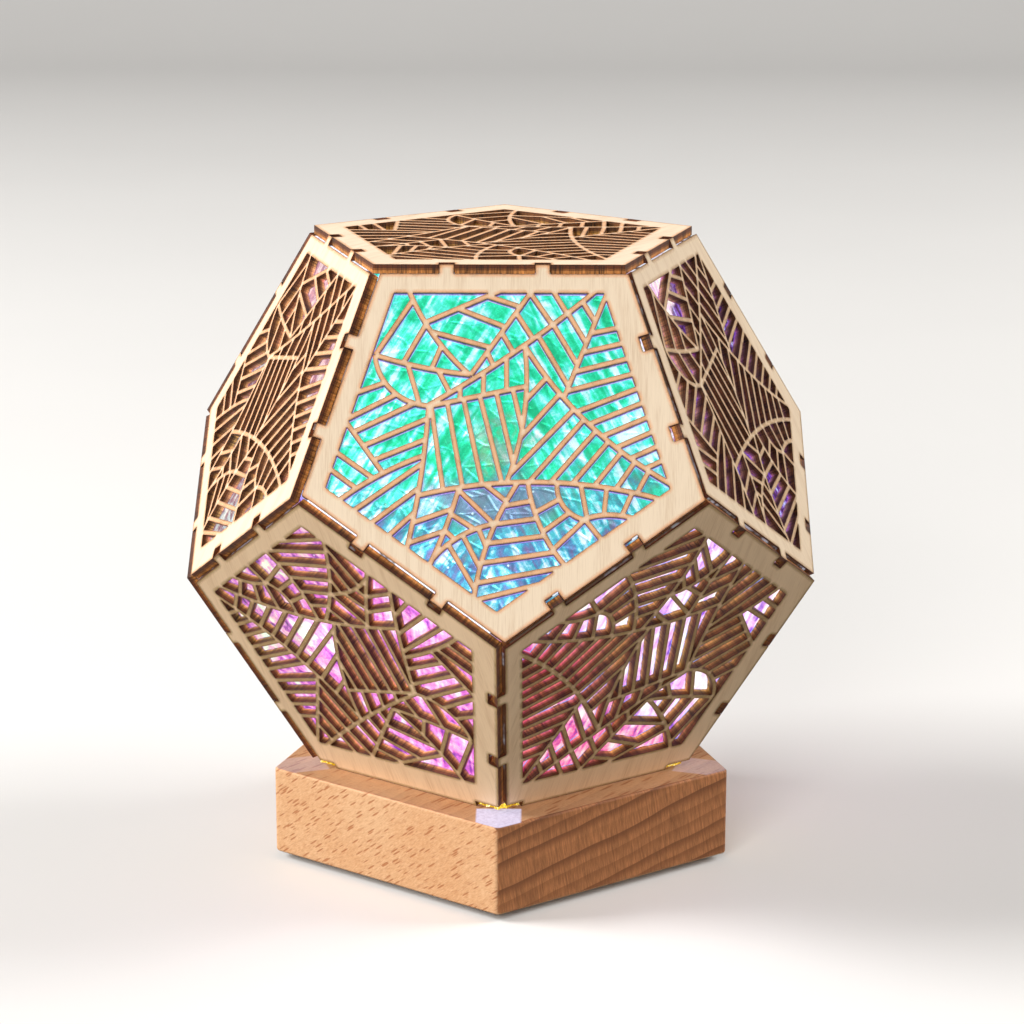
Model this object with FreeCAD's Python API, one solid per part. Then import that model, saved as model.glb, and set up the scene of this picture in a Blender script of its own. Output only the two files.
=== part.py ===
import FreeCAD, Part

import math
import os

# A table lamp: an openwork dodecahedron of laser-cut plywood, lined with iridescent film, that stands on
# a pentagonal beech base with the light inside.
# Millimetres. +Z is up and -Y is the front. The origin is the centre of the plane that the feet stand on.

Vec = FreeCAD.Vector

# ---- Driving dimensions: the shade ----
EDGE = 52.5                     # edge length of the dodecahedron
PLY = 2.0                       # plywood thickness
EDGE_RECESS = 2.0               # how far a panel's tabbed edge stands back from the sharp edge
TAB_PLACES = (15.3, 35.3)       # tab centres along a tabbed edge, from its first corner
TAB_WIDTH = 3.0
NOTCH_WIDTH = 3.3
NOTCH_DEPTH = 2.3
WINDOW_INRADIUS = 30.0          # centre of a panel to the side of its window
WINDOW_CORNER = 0.2             # radius that the laser leaves in the window's corners
RIB_WIDTH = 1.06
SMALLEST_HOLE = 0.35            # a lattice hole of less area than this is left uncut
FILM = 0.25
FILM_GAP = 0.1
FILM_RADIUS = 42.3              # centre of a film sheet to its corners

# ---- Driving dimensions: the base ----
FOOT_HEIGHT = 1.5
FOOT_RADIUS = 4.0
FOOT_RING = 43.0
BASE_HEIGHT = 20.0
BASE_RADIUS = 53.7              # centre of the base to its corners
BASE_CORNER = 1.5               # rounding of its upright corners
BASE_ARRIS = 0.6                # rounding of its top and bottom edges
SHADE_LIFT = 1.3                # base top to the sharp bottom edges of the shade
SHADE_REST_GAP = 0.05
FOLD_REACH = 5.2                # how far a corner fold of film runs along each side
FOLD_INSETS = (0.95, 1.3)       # from the shade's bottom corner to the fold's outer and inner faces
FOLD_HEIGHTS = (0.1, 1.4)       # above the base
COVER_RADIUS = 48.5
COVER_THICKNESS = 2.0
COVER_FIT = 0.15
WELL_RADIUS = 26.0              # round well in the top, which holds the light board
WELL_DEPTH = 6.0
POCKET_RADIUS = 24.0            # round pocket in the bottom
POCKET_TOP = 13.0
BAY_LEFT, BAY_RIGHT = -10.0, 18.0       # square bay behind the pocket, for the control board
BAY_FRONT, BAY_BACK = 12.0, 39.0
DIFFUSER_RADIUS = 29.0
DIFFUSER = 2.2
RING_OUTER, RING_INNER, RING = 31.0, 27.5, 0.8
WIRE_HOLE = (0.0, 14.0, 3.0)    # x, y and radius of the hole for the wires

# ---- Driving dimensions: the electrical parts ----
BOARD = 1.6
LIGHT_BOARD_RADIUS = 25.0
CHIP = (3.5, 2.8, 1.0)
CHIP_RINGS = ((12, 18.0), (6, 9.0))     # how many chips, and the radius of their ring
CONTROL_BOARD = (-9.0, 17.0, 20.0, 36.4)    # its sides as x, x, y, y
DRIVER = (1.0, 7.0, 25.0, 29.0, 1.5)    # the driver chip's sides and its thickness
DRIVER_LEGS, LEG_WIDTH, LEG_PITCH, LEG_REACH = 4, 0.6, 1.4, 0.8
SWITCH = (6.0, 3.5, 1.1)        # the switch's width and depth, and its plunger's length
PLUNGER_RADIUS = 1.6
CONTROL_Z = 8.2                 # height of the inlet and the button
INLET = (9.0, 7.6, 3.2)         # width, depth and height of the inlet's metal shell
INLET_WALL = 0.35
TONGUE = (6.7, 5.0, 0.7)
BEZEL = (14.0, 0.8, 7.6)
BUTTON_X = 13.0
BUTTON_RADIUS = 3.5
BUTTON_CLEARANCE = 0.3
BUTTON_PROUD = 1.2
BUTTON_FLANGE = (4.5, 1.0)      # radius and thickness of the flange inside the wall
BUTTON_TRAVEL = 1.0
FLANGE_GAP = 0.1                # from the flange to the wall, and when pressed to the switch
WIRE_RADIUS = 0.6
WIRE_BEND = 4.0
WIRE_SPACING = 2.4
SCREW_HEAD, SCREW_SHANK = 2.2, 1.1      # radii
SCREW_FIT = 0.2                 # clearance round a screw in a cover's hole
COVER_SCREW_LENGTH = 8.0
PAN_HEAD = (2.0, 1.0)           # radius and height of a board screw's head
BOARD_SCREW_GRIP = 1.4          # how far a board screw goes into the wood
PILOT_SPARE = 0.4               # how much deeper its pilot hole is
SLOT = 0.25                     # half the width of a screw's slot
COVER_SCREW_RING, LIGHT_SCREW_RING = 36.0, 22.0
CONTROL_SCREWS = ((-7.0, 24.0), (15.0, 24.0))

# ---- Worked out from the driving dimensions ----
GOLDEN = (1 + math.sqrt(5)) / 2
FACE_RADIUS = EDGE / (2 * math.sin(math.radians(36)))
FACE_INRADIUS = EDGE / (2 * math.tan(math.radians(36)))
RING_RADIUS = FACE_RADIUS * GOLDEN
BODY_INRADIUS = EDGE / 2 * math.sqrt(2.5 + 1.1 * math.sqrt(5))
RING_RISE = BODY_INRADIUS - FACE_RADIUS
FACE_SLOPE = 2 * math.atan(GOLDEN)                  # angle between two neighbouring faces
BASE_TOP = FOOT_HEIGHT + BASE_HEIGHT
CENTRE_HEIGHT = BASE_TOP + SHADE_LIFT + BODY_INRADIUS
BASE_INRADIUS = BASE_RADIUS * math.cos(math.radians(36))
FOOT_REACH = (SHADE_LIFT - SHADE_REST_GAP) / math.sin(FACE_SLOPE)
FOOT_TRIM = 6.4                 # length at each bottom corner where the panel has no foot strip
FRONT = -90.0
STEP = 72.0

MALE, FEMALE, FOOT = "male", "female", "foot"
UPPER_EDGES = (MALE, FEMALE, FEMALE, MALE, MALE)
LOWER_EDGES = (FOOT, MALE, MALE, FEMALE, FEMALE)
TOP_EDGES = (FEMALE,) * 5


# ---- Small helpers ----
def polar(radius, azimuth, height=0.0):
    angle = math.radians(azimuth)
    return Vec(radius * math.cos(angle), radius * math.sin(angle), height)


def cylinder(radius, low, high, x=0.0, y=0.0):
    return Part.makeCylinder(radius, high - low, Vec(x, y, low))


def block(x0, x1, y0, y1, z0, z1):
    return Part.makeBox(x1 - x0, y1 - y0, z1 - z0, Vec(x0, y0, z0))


def closed_wire(points):
    return Part.makePolygon(points + points[:1])


def pentagon_prism(radius, low, high, azimuth=FRONT):
    corners = [polar(radius, azimuth + STEP * k, low) for k in range(5)]
    return Part.Face(closed_wire(corners)).extrude(Vec(0, 0, high - low))


def rounded_slab(width, height, radius, depth):
    """A slab with round ends seen along Y, centred on the origin, running from y = 0 to y = depth."""
    slab = block(-width / 2, width / 2, 0, depth, -height / 2, height / 2)
    upright = [edge for edge in slab.Edges if abs(edge.tangentAt(edge.FirstParameter).y) > 0.9]
    return slab.makeFillet(radius, upright)


# ---- The lattice, drawn on one panel ----
# Every panel carries the same lattice. x runs to the right and y towards the panel's first edge, seen
# from outside, with the origin at the panel's centre. A vein is a main rib: two points make it straight
# and three make it an arc. A comb is a row of thinner slats that run from one line to another.
VEINS = (
    ((22.8, 31.0), (14.2, 8.2)),
    ((20.6, 31.0), (1.6, 16.2), (-14.6, 5.8)),
    ((5.4, 18.8), (18.0, 2.8), (37.2, -11.4)),
    ((-16.4, -13.0), (8.0, -10.1), (35.4, -14.2)),
    ((-14.3, 6.0), (-15.3, -5.5), (-18.6, -24.8)),
    ((5.4, 18.8), (5.6, 6.0), (1.8, -10.2)),
    ((-14.3, 5.8), (5.6, 10.1)),
    ((7.2, 31.0), (-5.6, 12.2)),
    ((-18.9, 31.0), (-12.2, 19.2), (-5.8, 12.4)),
    ((-26.4, 16.6), (-18.6, 14.7), (-5.8, 12.6)),
    ((-25.6, 17.4), (-21.8, 9.0), (-14.4, 5.9)),
    ((-15.2, 23.7), (0.2, 30.5)),
    ((-31.6, 2.8), (-23.4, -8.6)),
    ((-33.4, -14.8), (-23.6, -8.4), (-15.4, -4.6)),
    ((4.2, -10.3), (-0.6, -19.2), (-4.8, -35.6)),
    ((6.2, -10.3), (8.6, -19.0), (15.0, -28.8)),
    ((-8.2, -11.8), (-10.3, -19.0), (-13.8, -27.6)),
    ((-8.0, -11.8), (-0.8, -18.8)),
    ((-13.2, -26.2), (-7.8, -21.6), (-0.6, -18.8)),
    ((12.2, -10.3), (13.4, -15.0), (18.0, -18.0)),
    ((18.0, -18.0), (22.6, -23.8)),
    ((17.6, -17.6), (23.0, -16.9), (28.6, -17.9)),
)

# Each comb: how many slats, the first slat's two ends, and the last slat's two ends.
COMBS = (
    (4, ((20.1, 21.0), (26.6, 23.0)), ((14.8, 8.8), (30.0, 13.4))),
    (6, ((16.2, 4.8), (31.0, 10.6)), ((30.2, -7.2), (36.6, -4.2))),
    (4, ((8.2, 20.9), (14.6, 10.0)), ((17.4, 28.2), (20.2, 23.8))),
    (4, ((6.6, 30.0), (11.0, 23.4)), ((-2.4, 17.4), (-1.0, 14.4))),
    (3, ((-2.4, 29.4), (4.4, 27.1)), ((-13.6, 22.0), (-2.0, 18.6))),
    (3, ((-25.4, 17.0), (-17.6, 28.6)), ((-13.8, 14.0), (-11.7, 18.8))),
    (2, ((-18.8, 14.6), (-16.2, 6.2)), ((-12.4, 13.6), (-10.2, 9.0))),
    (3, ((-7.9, 10.0), (-7.9, 7.2)), ((1.7, 16.2), (1.7, 9.2))),
    (2, ((-29.6, 8.5), (-22.8, 11.2)), ((-31.2, 3.7), (-21.0, 8.3))),
    (2, ((-27.4, -2.4), (-14.8, 3.2)), ((-25.2, -5.4), (-15.0, -1.2))),
    (2, ((-33.2, -4.0), (-25.4, -9.6)), ((-34.6, -7.4), (-28.8, -11.8))),
    (3, ((-30.0, -16.6), (-15.6, -6.2)), ((-22.4, -21.6), (-17.4, -16.4))),
    (4, ((-13.8, 5.8), (-11.2, -11.9)), ((-3.8, 8.0), (0.9, -10.6))),
    (2, ((-0.4, 8.8), (3.2, -6.4)), ((3.0, 9.5), (5.2, 1.0))),
    (3, ((5.8, 7.2), (10.0, 12.0)), ((2.6, -8.6), (15.8, 5.4))),
    (6, ((6.4, -10.2), (17.8, 3.2)), ((28.6, -12.0), (31.2, -7.4))),
    (2, ((-9.6, -16.8), (-4.6, -20.0)), ((-11.0, -20.2), (-8.6, -22.2))),
    (5, ((1.5, -15.2), (7.2, -14.0)), ((-4.0, -31.2), (14.2, -27.6))),
    (3, ((17.0, -10.8), (18.2, -17.2)), ((27.6, -12.2), (25.4, -17.2))),
    (3, ((8.0, -16.4), (12.8, -13.6)), ((11.4, -24.2), (17.8, -18.0))),
    (2, ((-16.8, -18.8), (-9.8, -15.6)), ((-17.8, -23.0), (-10.9, -20.4))),
    (3, ((-9.8, -23.4), (-4.4, -32.6)), ((-3.8, -20.0), (-2.4, -23.6))),
)

# Slats that stand alone, each by its two ends.
SINGLE_SLATS = (
    ((11.0, 31.0), (14.2, 25.6)),
    ((-29.6, 0.4), (-17.4, 6.0)),
    ((-2.6, -10.8), (1.9, -14.2)),
    ((-4.6, -34.8), (8.6, -31.4)),
)
SNAP = 1.3                      # a slat's end this near a vein is drawn onto its centre line


def rib_edge(points):
    """The centre line of a rib: a straight line through two points, or an arc through three."""
    if len(points) == 2:
        return Part.LineSegment(points[0], points[1]).toShape()
    return Part.Arc(points[0], points[1], points[2]).toShape()


def rib_strip(points):
    """The flat strip that a rib covers: its centre line widened by half a rib to each side."""
    half = RIB_WIDTH / 2
    if len(points) == 2:
        along = (points[1] - points[0]).normalize()
        side = Vec(-along.y, along.x, 0) * half
        corners = [points[0] + side, points[1] + side, points[1] - side, points[0] - side]
        return Part.Face(closed_wire(corners))
    centre = rib_edge(points).Curve.Center
    outer, inner = [], []
    for point in points:
        out = (point - centre).normalize() * half
        outer.append(point + out)
        inner.append(point - out)
    ends = [rib_edge([outer[2], inner[2]]), rib_edge([inner[0], outer[0]])]
    sides = [rib_edge(outer), rib_edge(inner)] + ends
    return Part.Face(Part.Wire(Part.__sortEdges__(sides)))


def snapped(point, rails):
    """The nearest point on any rail, if that is within SNAP, or the point itself."""
    vertex = Part.Vertex(point)
    nearest = min((rail.distToShape(vertex) for rail in rails), key=lambda found: found[0])
    return nearest[1][0][0] if nearest[0] < SNAP else point


def joined_veins():
    """The veins, with each end that lies near another vein drawn onto it."""
    veins = [[Vec(*point) for point in vein] for vein in VEINS]
    for vein in veins:
        others = [rib_edge(other) for other in veins if other is not vein]
        vein[0], vein[-1] = snapped(vein[0], others), snapped(vein[-1], others)
    return veins


def between(start, end, share):
    return start + (end - start) * share


def comb_ribs(count, first, last, rails):
    """Slats spread evenly from the first one to the last, with their ends on the veins."""
    ribs = []
    for index in range(count):
        share = index / (count - 1)
        ends = [between(Vec(*first[side]), Vec(*last[side]), share) for side in (0, 1)]
        ribs.append([snapped(end, rails) for end in ends])
    return ribs


def lattice_holes():
    """The outlines of all the holes in a panel's lattice: the window less the ribs."""
    corners = [polar(WINDOW_INRADIUS / math.cos(math.radians(36)), 126 - STEP * k) for k in range(5)]
    window = Part.Face(closed_wire(corners)).extrude(Vec(0, 0, 1))
    upright = [edge for edge in window.Edges if abs(edge.tangentAt(edge.FirstParameter).z) > 0.9]
    window = window.makeFillet(WINDOW_CORNER, upright)
    floor = [face for face in window.Faces if abs(face.CenterOfMass.z) < 1e-6][0]

    veins = joined_veins()
    rails = [rib_edge(vein) for vein in veins]
    ribs = list(veins)
    for count, first, last in COMBS:
        ribs.extend(comb_ribs(count, first, last, rails))
    for slat in SINGLE_SLATS:
        ribs.append([snapped(Vec(*end), rails) for end in slat])

    left = floor.cut([rib_strip(rib) for rib in ribs])
    wide = [face for face in left.Faces if face.Area > SMALLEST_HOLE]
    return [face.OuterWire for face in wide]


# ---- The panels ----
def corner_at(index, insets):
    """Where a panel's edges index - 1 and index cross, each moved inwards by its inset."""
    before = polar(1, 162 - STEP * index)
    after = polar(1, 90 - STEP * index)
    reach_before = FACE_INRADIUS - insets[index - 1]
    reach_after = FACE_INRADIUS - insets[index]
    cross = before.x * after.y - before.y * after.x
    x = (reach_before * after.y - reach_after * before.y) / cross
    y = (before.x * reach_after - after.x * reach_before) / cross
    return Vec(x, y, 0)


def edge_steps(kind):
    """The steps along an edge as (distance from its first corner, depth inwards from the sharp edge)."""
    if kind == FOOT:
        far = EDGE - FOOT_TRIM
        return [(FOOT_TRIM, 0), (FOOT_TRIM, -FOOT_REACH), (far, -FOOT_REACH), (far, 0)]
    steps = []
    if kind == MALE:
        for place in TAB_PLACES:
            low, high = place - TAB_WIDTH / 2, place + TAB_WIDTH / 2
            steps += [(low, EDGE_RECESS), (low, 0), (high, 0), (high, EDGE_RECESS)]
        return steps
    for place in reversed(TAB_PLACES):
        low = EDGE - place - NOTCH_WIDTH / 2
        high = EDGE - place + NOTCH_WIDTH / 2
        steps += [(low, 0), (low, NOTCH_DEPTH), (high, NOTCH_DEPTH), (high, 0)]
    return steps


def panel_outline(kinds):
    """The outer outline of a panel whose five edges, clockwise from the first, have these kinds."""
    insets = [EDGE_RECESS if kind == MALE else 0 for kind in kinds]
    points = []
    for index, kind in enumerate(kinds):
        start = polar(FACE_RADIUS, 126 - STEP * index)
        end = polar(FACE_RADIUS, 126 - STEP * (index + 1))
        along = (end - start).normalize()
        inwards = polar(-1, 90 - STEP * index)
        points.append(corner_at(index, insets))
        points += [start + along * far + inwards * depth for far, depth in edge_steps(kind)]
    return closed_wire(points)


def panel(kinds, holes):
    """A plywood panel with its outer face on z = 0 and its thickness below it."""
    face = Part.makeFace([panel_outline(kinds)] + holes, "Part::FaceMakerBullseye")
    return face.extrude(Vec(0, 0, -PLY))


def film_sheet():
    """A flat pentagon of film just behind a panel's inner face."""
    corners = [polar(FILM_RADIUS, 126 - STEP * k, -PLY - FILM_GAP) for k in range(5)]
    return Part.Face(closed_wire(corners)).extrude(Vec(0, 0, -FILM))


# ---- Where each face of the dodecahedron is ----
def top_vertex(azimuth):
    return polar(FACE_RADIUS, azimuth, CENTRE_HEIGHT + BODY_INRADIUS)


def upper_vertex(azimuth):
    return polar(RING_RADIUS, azimuth, CENTRE_HEIGHT + RING_RISE)


def lower_vertex(azimuth):
    return polar(RING_RADIUS, azimuth, CENTRE_HEIGHT - RING_RISE)


def bottom_vertex(azimuth):
    return polar(FACE_RADIUS, azimuth, CENTRE_HEIGHT - BODY_INRADIUS)


def face_placement(corners):
    """Puts a panel's own frame on the face with these corners, clockwise seen from outside."""
    centre = Vec(0, 0, 0)
    for corner in corners:
        centre += corner * 0.2
    across = (corners[1] - corners[0]).normalize()
    out = (corners[2] - corners[1]).cross(corners[1] - corners[0]).normalize()
    up = out.cross(across)
    return FreeCAD.Placement(centre, FreeCAD.Rotation(across, up, out, "ZXY"))


def shade_faces():
    """Each face's name, edge kinds and placement."""
    half = STEP / 2
    faces = [("top", TOP_EDGES, face_placement([top_vertex(90 - STEP * k) for k in range(5)]))]
    for k in range(5):
        azimuth = FRONT + STEP * k
        corners = [top_vertex(azimuth - half), top_vertex(azimuth + half),
                   upper_vertex(azimuth + half), lower_vertex(azimuth), upper_vertex(azimuth - half)]
        faces.append((f"upper_{k + 1}", UPPER_EDGES, face_placement(corners)))
    for k in range(5):
        azimuth = FRONT + half + STEP * k
        corners = [bottom_vertex(azimuth + half), bottom_vertex(azimuth - half),
                   lower_vertex(azimuth - half), upper_vertex(azimuth), lower_vertex(azimuth + half)]
        faces.append((f"lower_{k + 1}", LOWER_EDGES, face_placement(corners)))
    return faces


def film_corner_folds():
    """Five bent strips of film, one in the gap at each bottom corner of the shade."""
    low = BASE_TOP + FOLD_HEIGHTS[0]
    folds = []
    for k in range(5):
        corner = polar(FACE_RADIUS, FRONT + STEP * k, low)
        left = (polar(FACE_RADIUS, FRONT + STEP * (k - 1), low) - corner).normalize()
        right = (polar(FACE_RADIUS, FRONT + STEP * (k + 1), low) - corner).normalize()
        inwards = (left + right) * (1 / math.sin(math.radians(108)))
        near, far = [corner + inwards * inset for inset in FOLD_INSETS]
        outside = [near + left * FOLD_REACH, near, near + right * FOLD_REACH]
        inside = [far + right * FOLD_REACH, far, far + left * FOLD_REACH]
        height = FOLD_HEIGHTS[1] - FOLD_HEIGHTS[0]
        folds.append(Part.Face(closed_wire(outside + inside)).extrude(Vec(0, 0, height)))
    return Part.makeCompound(folds)


# ---- The base and what it holds ----
def base_block():
    """The beech base: a pentagonal block, hollowed from above for the light and from below for the rest."""
    body = pentagon_prism(BASE_RADIUS, FOOT_HEIGHT, BASE_TOP)
    upright = [edge for edge in body.Edges if abs(edge.tangentAt(edge.FirstParameter).z) > 0.9]
    body = body.makeFillet(BASE_CORNER, upright)
    rims = [edge for edge in body.Edges if abs(edge.tangentAt(edge.FirstParameter).z) < 0.1]
    body = body.makeFillet(BASE_ARRIS, rims)
    x, y, radius = WIRE_HOLE
    floor = BASE_TOP - WELL_DEPTH
    wall = BASE_INRADIUS - BAY_BACK
    slot = rounded_slab(INLET[0] + 0.4, INLET[2] + 0.4, INLET[2] / 2, wall + 2)
    slot.translate(Vec(0, BAY_BACK - 1, CONTROL_Z))
    seat = rounded_slab(BEZEL[0] + 0.2, BEZEL[2] + 0.2, 2.0, 2)
    seat.translate(Vec(0, BASE_INRADIUS - BEZEL[1], CONTROL_Z))
    start = Vec(BUTTON_X, BAY_BACK - 1, CONTROL_Z)
    bore = Part.makeCylinder(BUTTON_RADIUS + BUTTON_CLEARANCE, wall + 2, start, Vec(0, 1, 0))
    cuts = [
        pentagon_prism(COVER_RADIUS + COVER_FIT, FOOT_HEIGHT - 1, FOOT_HEIGHT + COVER_THICKNESS),
        cylinder(POCKET_RADIUS, FOOT_HEIGHT, POCKET_TOP),
        block(BAY_LEFT, BAY_RIGHT, BAY_FRONT, BAY_BACK, FOOT_HEIGHT, POCKET_TOP),
        cylinder(WELL_RADIUS, floor, BASE_TOP + 1),
        cylinder(DIFFUSER_RADIUS + COVER_FIT, BASE_TOP - DIFFUSER, BASE_TOP + 1),
        cylinder(radius, POCKET_TOP - 1, floor + 1, x, y),
        slot, seat, bore,
    ]
    pilots = [(cover_screw_places(), FOOT_HEIGHT, FOOT_HEIGHT + COVER_SCREW_LENGTH + 1),
              (light_screw_places(), floor - BOARD_SCREW_GRIP - PILOT_SPARE, floor + 1),
              (control_screw_places(), POCKET_TOP - 1, POCKET_TOP + BOARD_SCREW_GRIP + PILOT_SPARE)]
    for places, low, high in pilots:
        cuts += [cylinder(SCREW_SHANK, low, high, place.x, place.y) for place in places]
    return body.cut(cuts)


def cover_screw_places():
    return [polar(COVER_SCREW_RING, FRONT + STEP * k) for k in range(5)]


def light_screw_places():
    return [polar(LIGHT_SCREW_RING, FRONT + 120 * k) for k in range(3)]


def control_screw_places():
    return [Vec(x, y, 0) for x, y in CONTROL_SCREWS]


def bottom_cover():
    """A pentagonal plate set flush into the bottom of the base."""
    plate = pentagon_prism(COVER_RADIUS, FOOT_HEIGHT, FOOT_HEIGHT + COVER_THICKNESS)
    narrow, wide = SCREW_SHANK + SCREW_FIT, SCREW_HEAD + SCREW_FIT / 2
    holes = []
    for place in cover_screw_places():
        mouth = Vec(place.x, place.y, FOOT_HEIGHT)
        holes.append(cylinder(narrow, FOOT_HEIGHT - 1, BASE_TOP, place.x, place.y))
        holes.append(Part.makeCone(wide, narrow, 1.2, mouth))
    return plate.cut(holes)


def cover_screw(place):
    """A countersunk wood screw with a cross slot, its head flush with the cover."""
    head = Part.makeCone(SCREW_HEAD, SCREW_SHANK, 1.1, Vec(place.x, place.y, FOOT_HEIGHT))
    x, y = place.x, place.y
    shank = cylinder(SCREW_SHANK - 0.05, FOOT_HEIGHT + 1, FOOT_HEIGHT + COVER_SCREW_LENGTH, x, y)
    reach = SCREW_HEAD * 0.55
    low, high = FOOT_HEIGHT - 1, FOOT_HEIGHT + 0.6
    slots = [block(x - reach, x + reach, y - SLOT, y + SLOT, low, high),
             block(x - SLOT, x + SLOT, y - reach, y + reach, low, high)]
    return head.fuse(shank).cut(slots)


def board_screw(place, seat, direction):
    """A small pan-head screw whose head sits on the surface at height seat and points along direction."""
    axis = Vec(0, 0, direction)
    start = Vec(place.x, place.y, seat)
    radius, height = PAN_HEAD
    head = Part.makeCylinder(radius, height, start, axis)
    shank = Part.makeCylinder(SCREW_SHANK - 0.1, BOARD + BOARD_SCREW_GRIP, start, axis * -1)
    slot = block(-0.7 * radius, 0.7 * radius, -SLOT, SLOT, -0.4 * height, 0.4 * height)
    slot.translate(start + axis * height)
    return head.fuse(shank).cut(slot)


def foot(place):
    """A rubber foot: a low disc with a rounded lower rim."""
    disc = cylinder(FOOT_RADIUS, 0, FOOT_HEIGHT, place.x, place.y)
    rim = [edge for edge in disc.Edges if edge.BoundBox.ZMax < 0.01]
    return disc.makeFillet(0.5, rim)


def light_board():
    low = BASE_TOP - WELL_DEPTH
    board = cylinder(LIGHT_BOARD_RADIUS, low, low + BOARD)
    holes = [cylinder(SCREW_SHANK + 0.1, low - 1, low + BOARD + 1, place.x, place.y)
             for place in light_screw_places()]
    return board.cut(holes)


def light_chips():
    """Rings of light chips on the light board, each turned to face along its ring."""
    low = BASE_TOP - WELL_DEPTH + BOARD
    chips = []
    for count, radius in CHIP_RINGS:
        for index in range(count):
            azimuth = 360 * (index + 0.5) / count
            chip = Part.makeBox(CHIP[0], CHIP[1], CHIP[2], Vec(radius - CHIP[0] / 2, -CHIP[1] / 2, low))
            chip.rotate(Vec(0, 0, 0), Vec(0, 0, 1), azimuth)
            chips.append(chip)
    return Part.makeCompound(chips)


def diffuser_disc():
    disc = cylinder(DIFFUSER_RADIUS, BASE_TOP - DIFFUSER, BASE_TOP)
    rim = [edge for edge in disc.Edges if edge.BoundBox.ZMin > BASE_TOP - 0.01]
    return disc.makeChamfer(0.3, rim)


def diffuser_ring():
    """A flat ring on top of the base that holds the diffuser's rim down."""
    ring = cylinder(RING_OUTER, BASE_TOP, BASE_TOP + RING)
    ring = ring.cut(cylinder(RING_INNER, BASE_TOP - 1, BASE_TOP + 2))
    top = [edge for edge in ring.Edges if edge.BoundBox.ZMin > BASE_TOP + RING - 0.01]
    return ring.makeFillet(0.3, top)


def control_board():
    """The control board, screwed up against the ceiling of the bay."""
    board = block(*CONTROL_BOARD, POCKET_TOP - BOARD, POCKET_TOP)
    holes = [cylinder(SCREW_SHANK + 0.1, POCKET_TOP - 3, POCKET_TOP + 1, place.x, place.y)
             for place in control_screw_places()]
    return board.cut(holes)


def driver_chip():
    """The driver chip under the control board, with a row of short legs on each side."""
    top = POCKET_TOP - BOARD
    x0, x1, y0, y1, thickness = DRIVER
    body = block(x0, x1, y0, y1, top - thickness - 0.1, top - 0.1)
    legs = []
    for index in range(DRIVER_LEGS):
        x = x0 + LEG_WIDTH + LEG_PITCH * index
        legs.append(block(x, x + LEG_WIDTH, y0 - LEG_REACH, y0 + 0.1, top - 0.9, top))
        legs.append(block(x, x + LEG_WIDTH, y1 - 0.1, y1 + LEG_REACH, top - 0.9, top))
    return body.fuse(legs)


def inlet_shell():
    """The inlet's metal shell: a flat tube with round ends, closed at its inner end."""
    width, depth, height = INLET
    outer = rounded_slab(width, height, height / 2 - 0.01, depth)
    inner_height = height - 2 * INLET_WALL
    inner = rounded_slab(width - 2 * INLET_WALL, inner_height, inner_height / 2 - 0.01, depth)
    inner.translate(Vec(0, INLET_WALL, 0))
    shell = outer.cut(inner)
    shell.translate(Vec(0, BASE_INRADIUS - 0.2 - depth, CONTROL_Z))
    return shell


def inlet_tongue():
    width, depth, height = TONGUE
    start = BASE_INRADIUS - 0.2 - INLET[1] + INLET_WALL
    return block(-width / 2, width / 2, start, start + depth, CONTROL_Z - height / 2, CONTROL_Z + height / 2)


def inlet_bezel():
    """A thin plate round the inlet, flush with the back of the base."""
    width, depth, height = BEZEL
    plate = rounded_slab(width, height, 1.9, depth)
    plate.translate(Vec(0, BASE_INRADIUS - depth, CONTROL_Z))
    slot = rounded_slab(INLET[0] + 0.3, INLET[2] + 0.3, INLET[2] / 2, 3)
    slot.translate(Vec(0, BASE_INRADIUS - 2, CONTROL_Z))
    return plate.cut(slot)


def switch_body():
    """The push switch under the control board, with its plunger towards the button."""
    width, depth, reach = SWITCH
    tip = BAY_BACK - FLANGE_GAP - BUTTON_FLANGE[1] - BUTTON_TRAVEL - FLANGE_GAP
    front = tip - reach
    left, right = BUTTON_X - width / 2, BUTTON_X + width / 2
    body = block(left, right, front - depth, front, CONTROL_Z - width / 2, POCKET_TOP - BOARD)
    start = Vec(BUTTON_X, front - 0.1, CONTROL_Z)
    plunger = Part.makeCylinder(PLUNGER_RADIUS, reach + 0.1, start, Vec(0, 1, 0))
    return body.fuse(plunger)


def power_button():
    """The button's cap, domed a little, with a flange behind the wall that keeps it in."""
    back = BAY_BACK - FLANGE_GAP - BUTTON_FLANGE[1]
    tip = BASE_INRADIUS + BUTTON_PROUD
    axis = Vec(0, 1, 0)
    flange = Part.makeCylinder(BUTTON_FLANGE[0], BUTTON_FLANGE[1], Vec(BUTTON_X, back, CONTROL_Z), axis)
    cap = Part.makeCylinder(BUTTON_RADIUS, tip - back, Vec(BUTTON_X, back, CONTROL_Z), axis)
    rim = [edge for edge in cap.Edges if edge.BoundBox.YMin > tip - 0.01]
    return flange.fuse(cap.makeFillet(0.6, rim))


def wire(x):
    """A wire from the control board's front edge, forwards and then up to the light board."""
    start = Vec(x, CONTROL_BOARD[2], POCKET_TOP - BOARD - WIRE_RADIUS)
    top = Vec(x, WIRE_HOLE[1], BASE_TOP - WELL_DEPTH)
    bend = Vec(x, WIRE_HOLE[1], start.z)
    turn_start = bend + Vec(0, WIRE_BEND, 0)
    turn_end = bend + Vec(0, 0, WIRE_BEND)
    centre = bend + Vec(0, WIRE_BEND, WIRE_BEND)
    middle = centre - (Vec(0, 1, 1).normalize() * WIRE_BEND)
    path = Part.Wire([Part.LineSegment(start, turn_start).toShape(),
                      Part.Arc(turn_start, middle, turn_end).toShape(),
                      Part.LineSegment(turn_end, top).toShape()])
    section = Part.Wire(Part.makeCircle(WIRE_RADIUS, start, Vec(0, 1, 0)))
    return path.makePipeShell([section], True, False)


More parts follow.
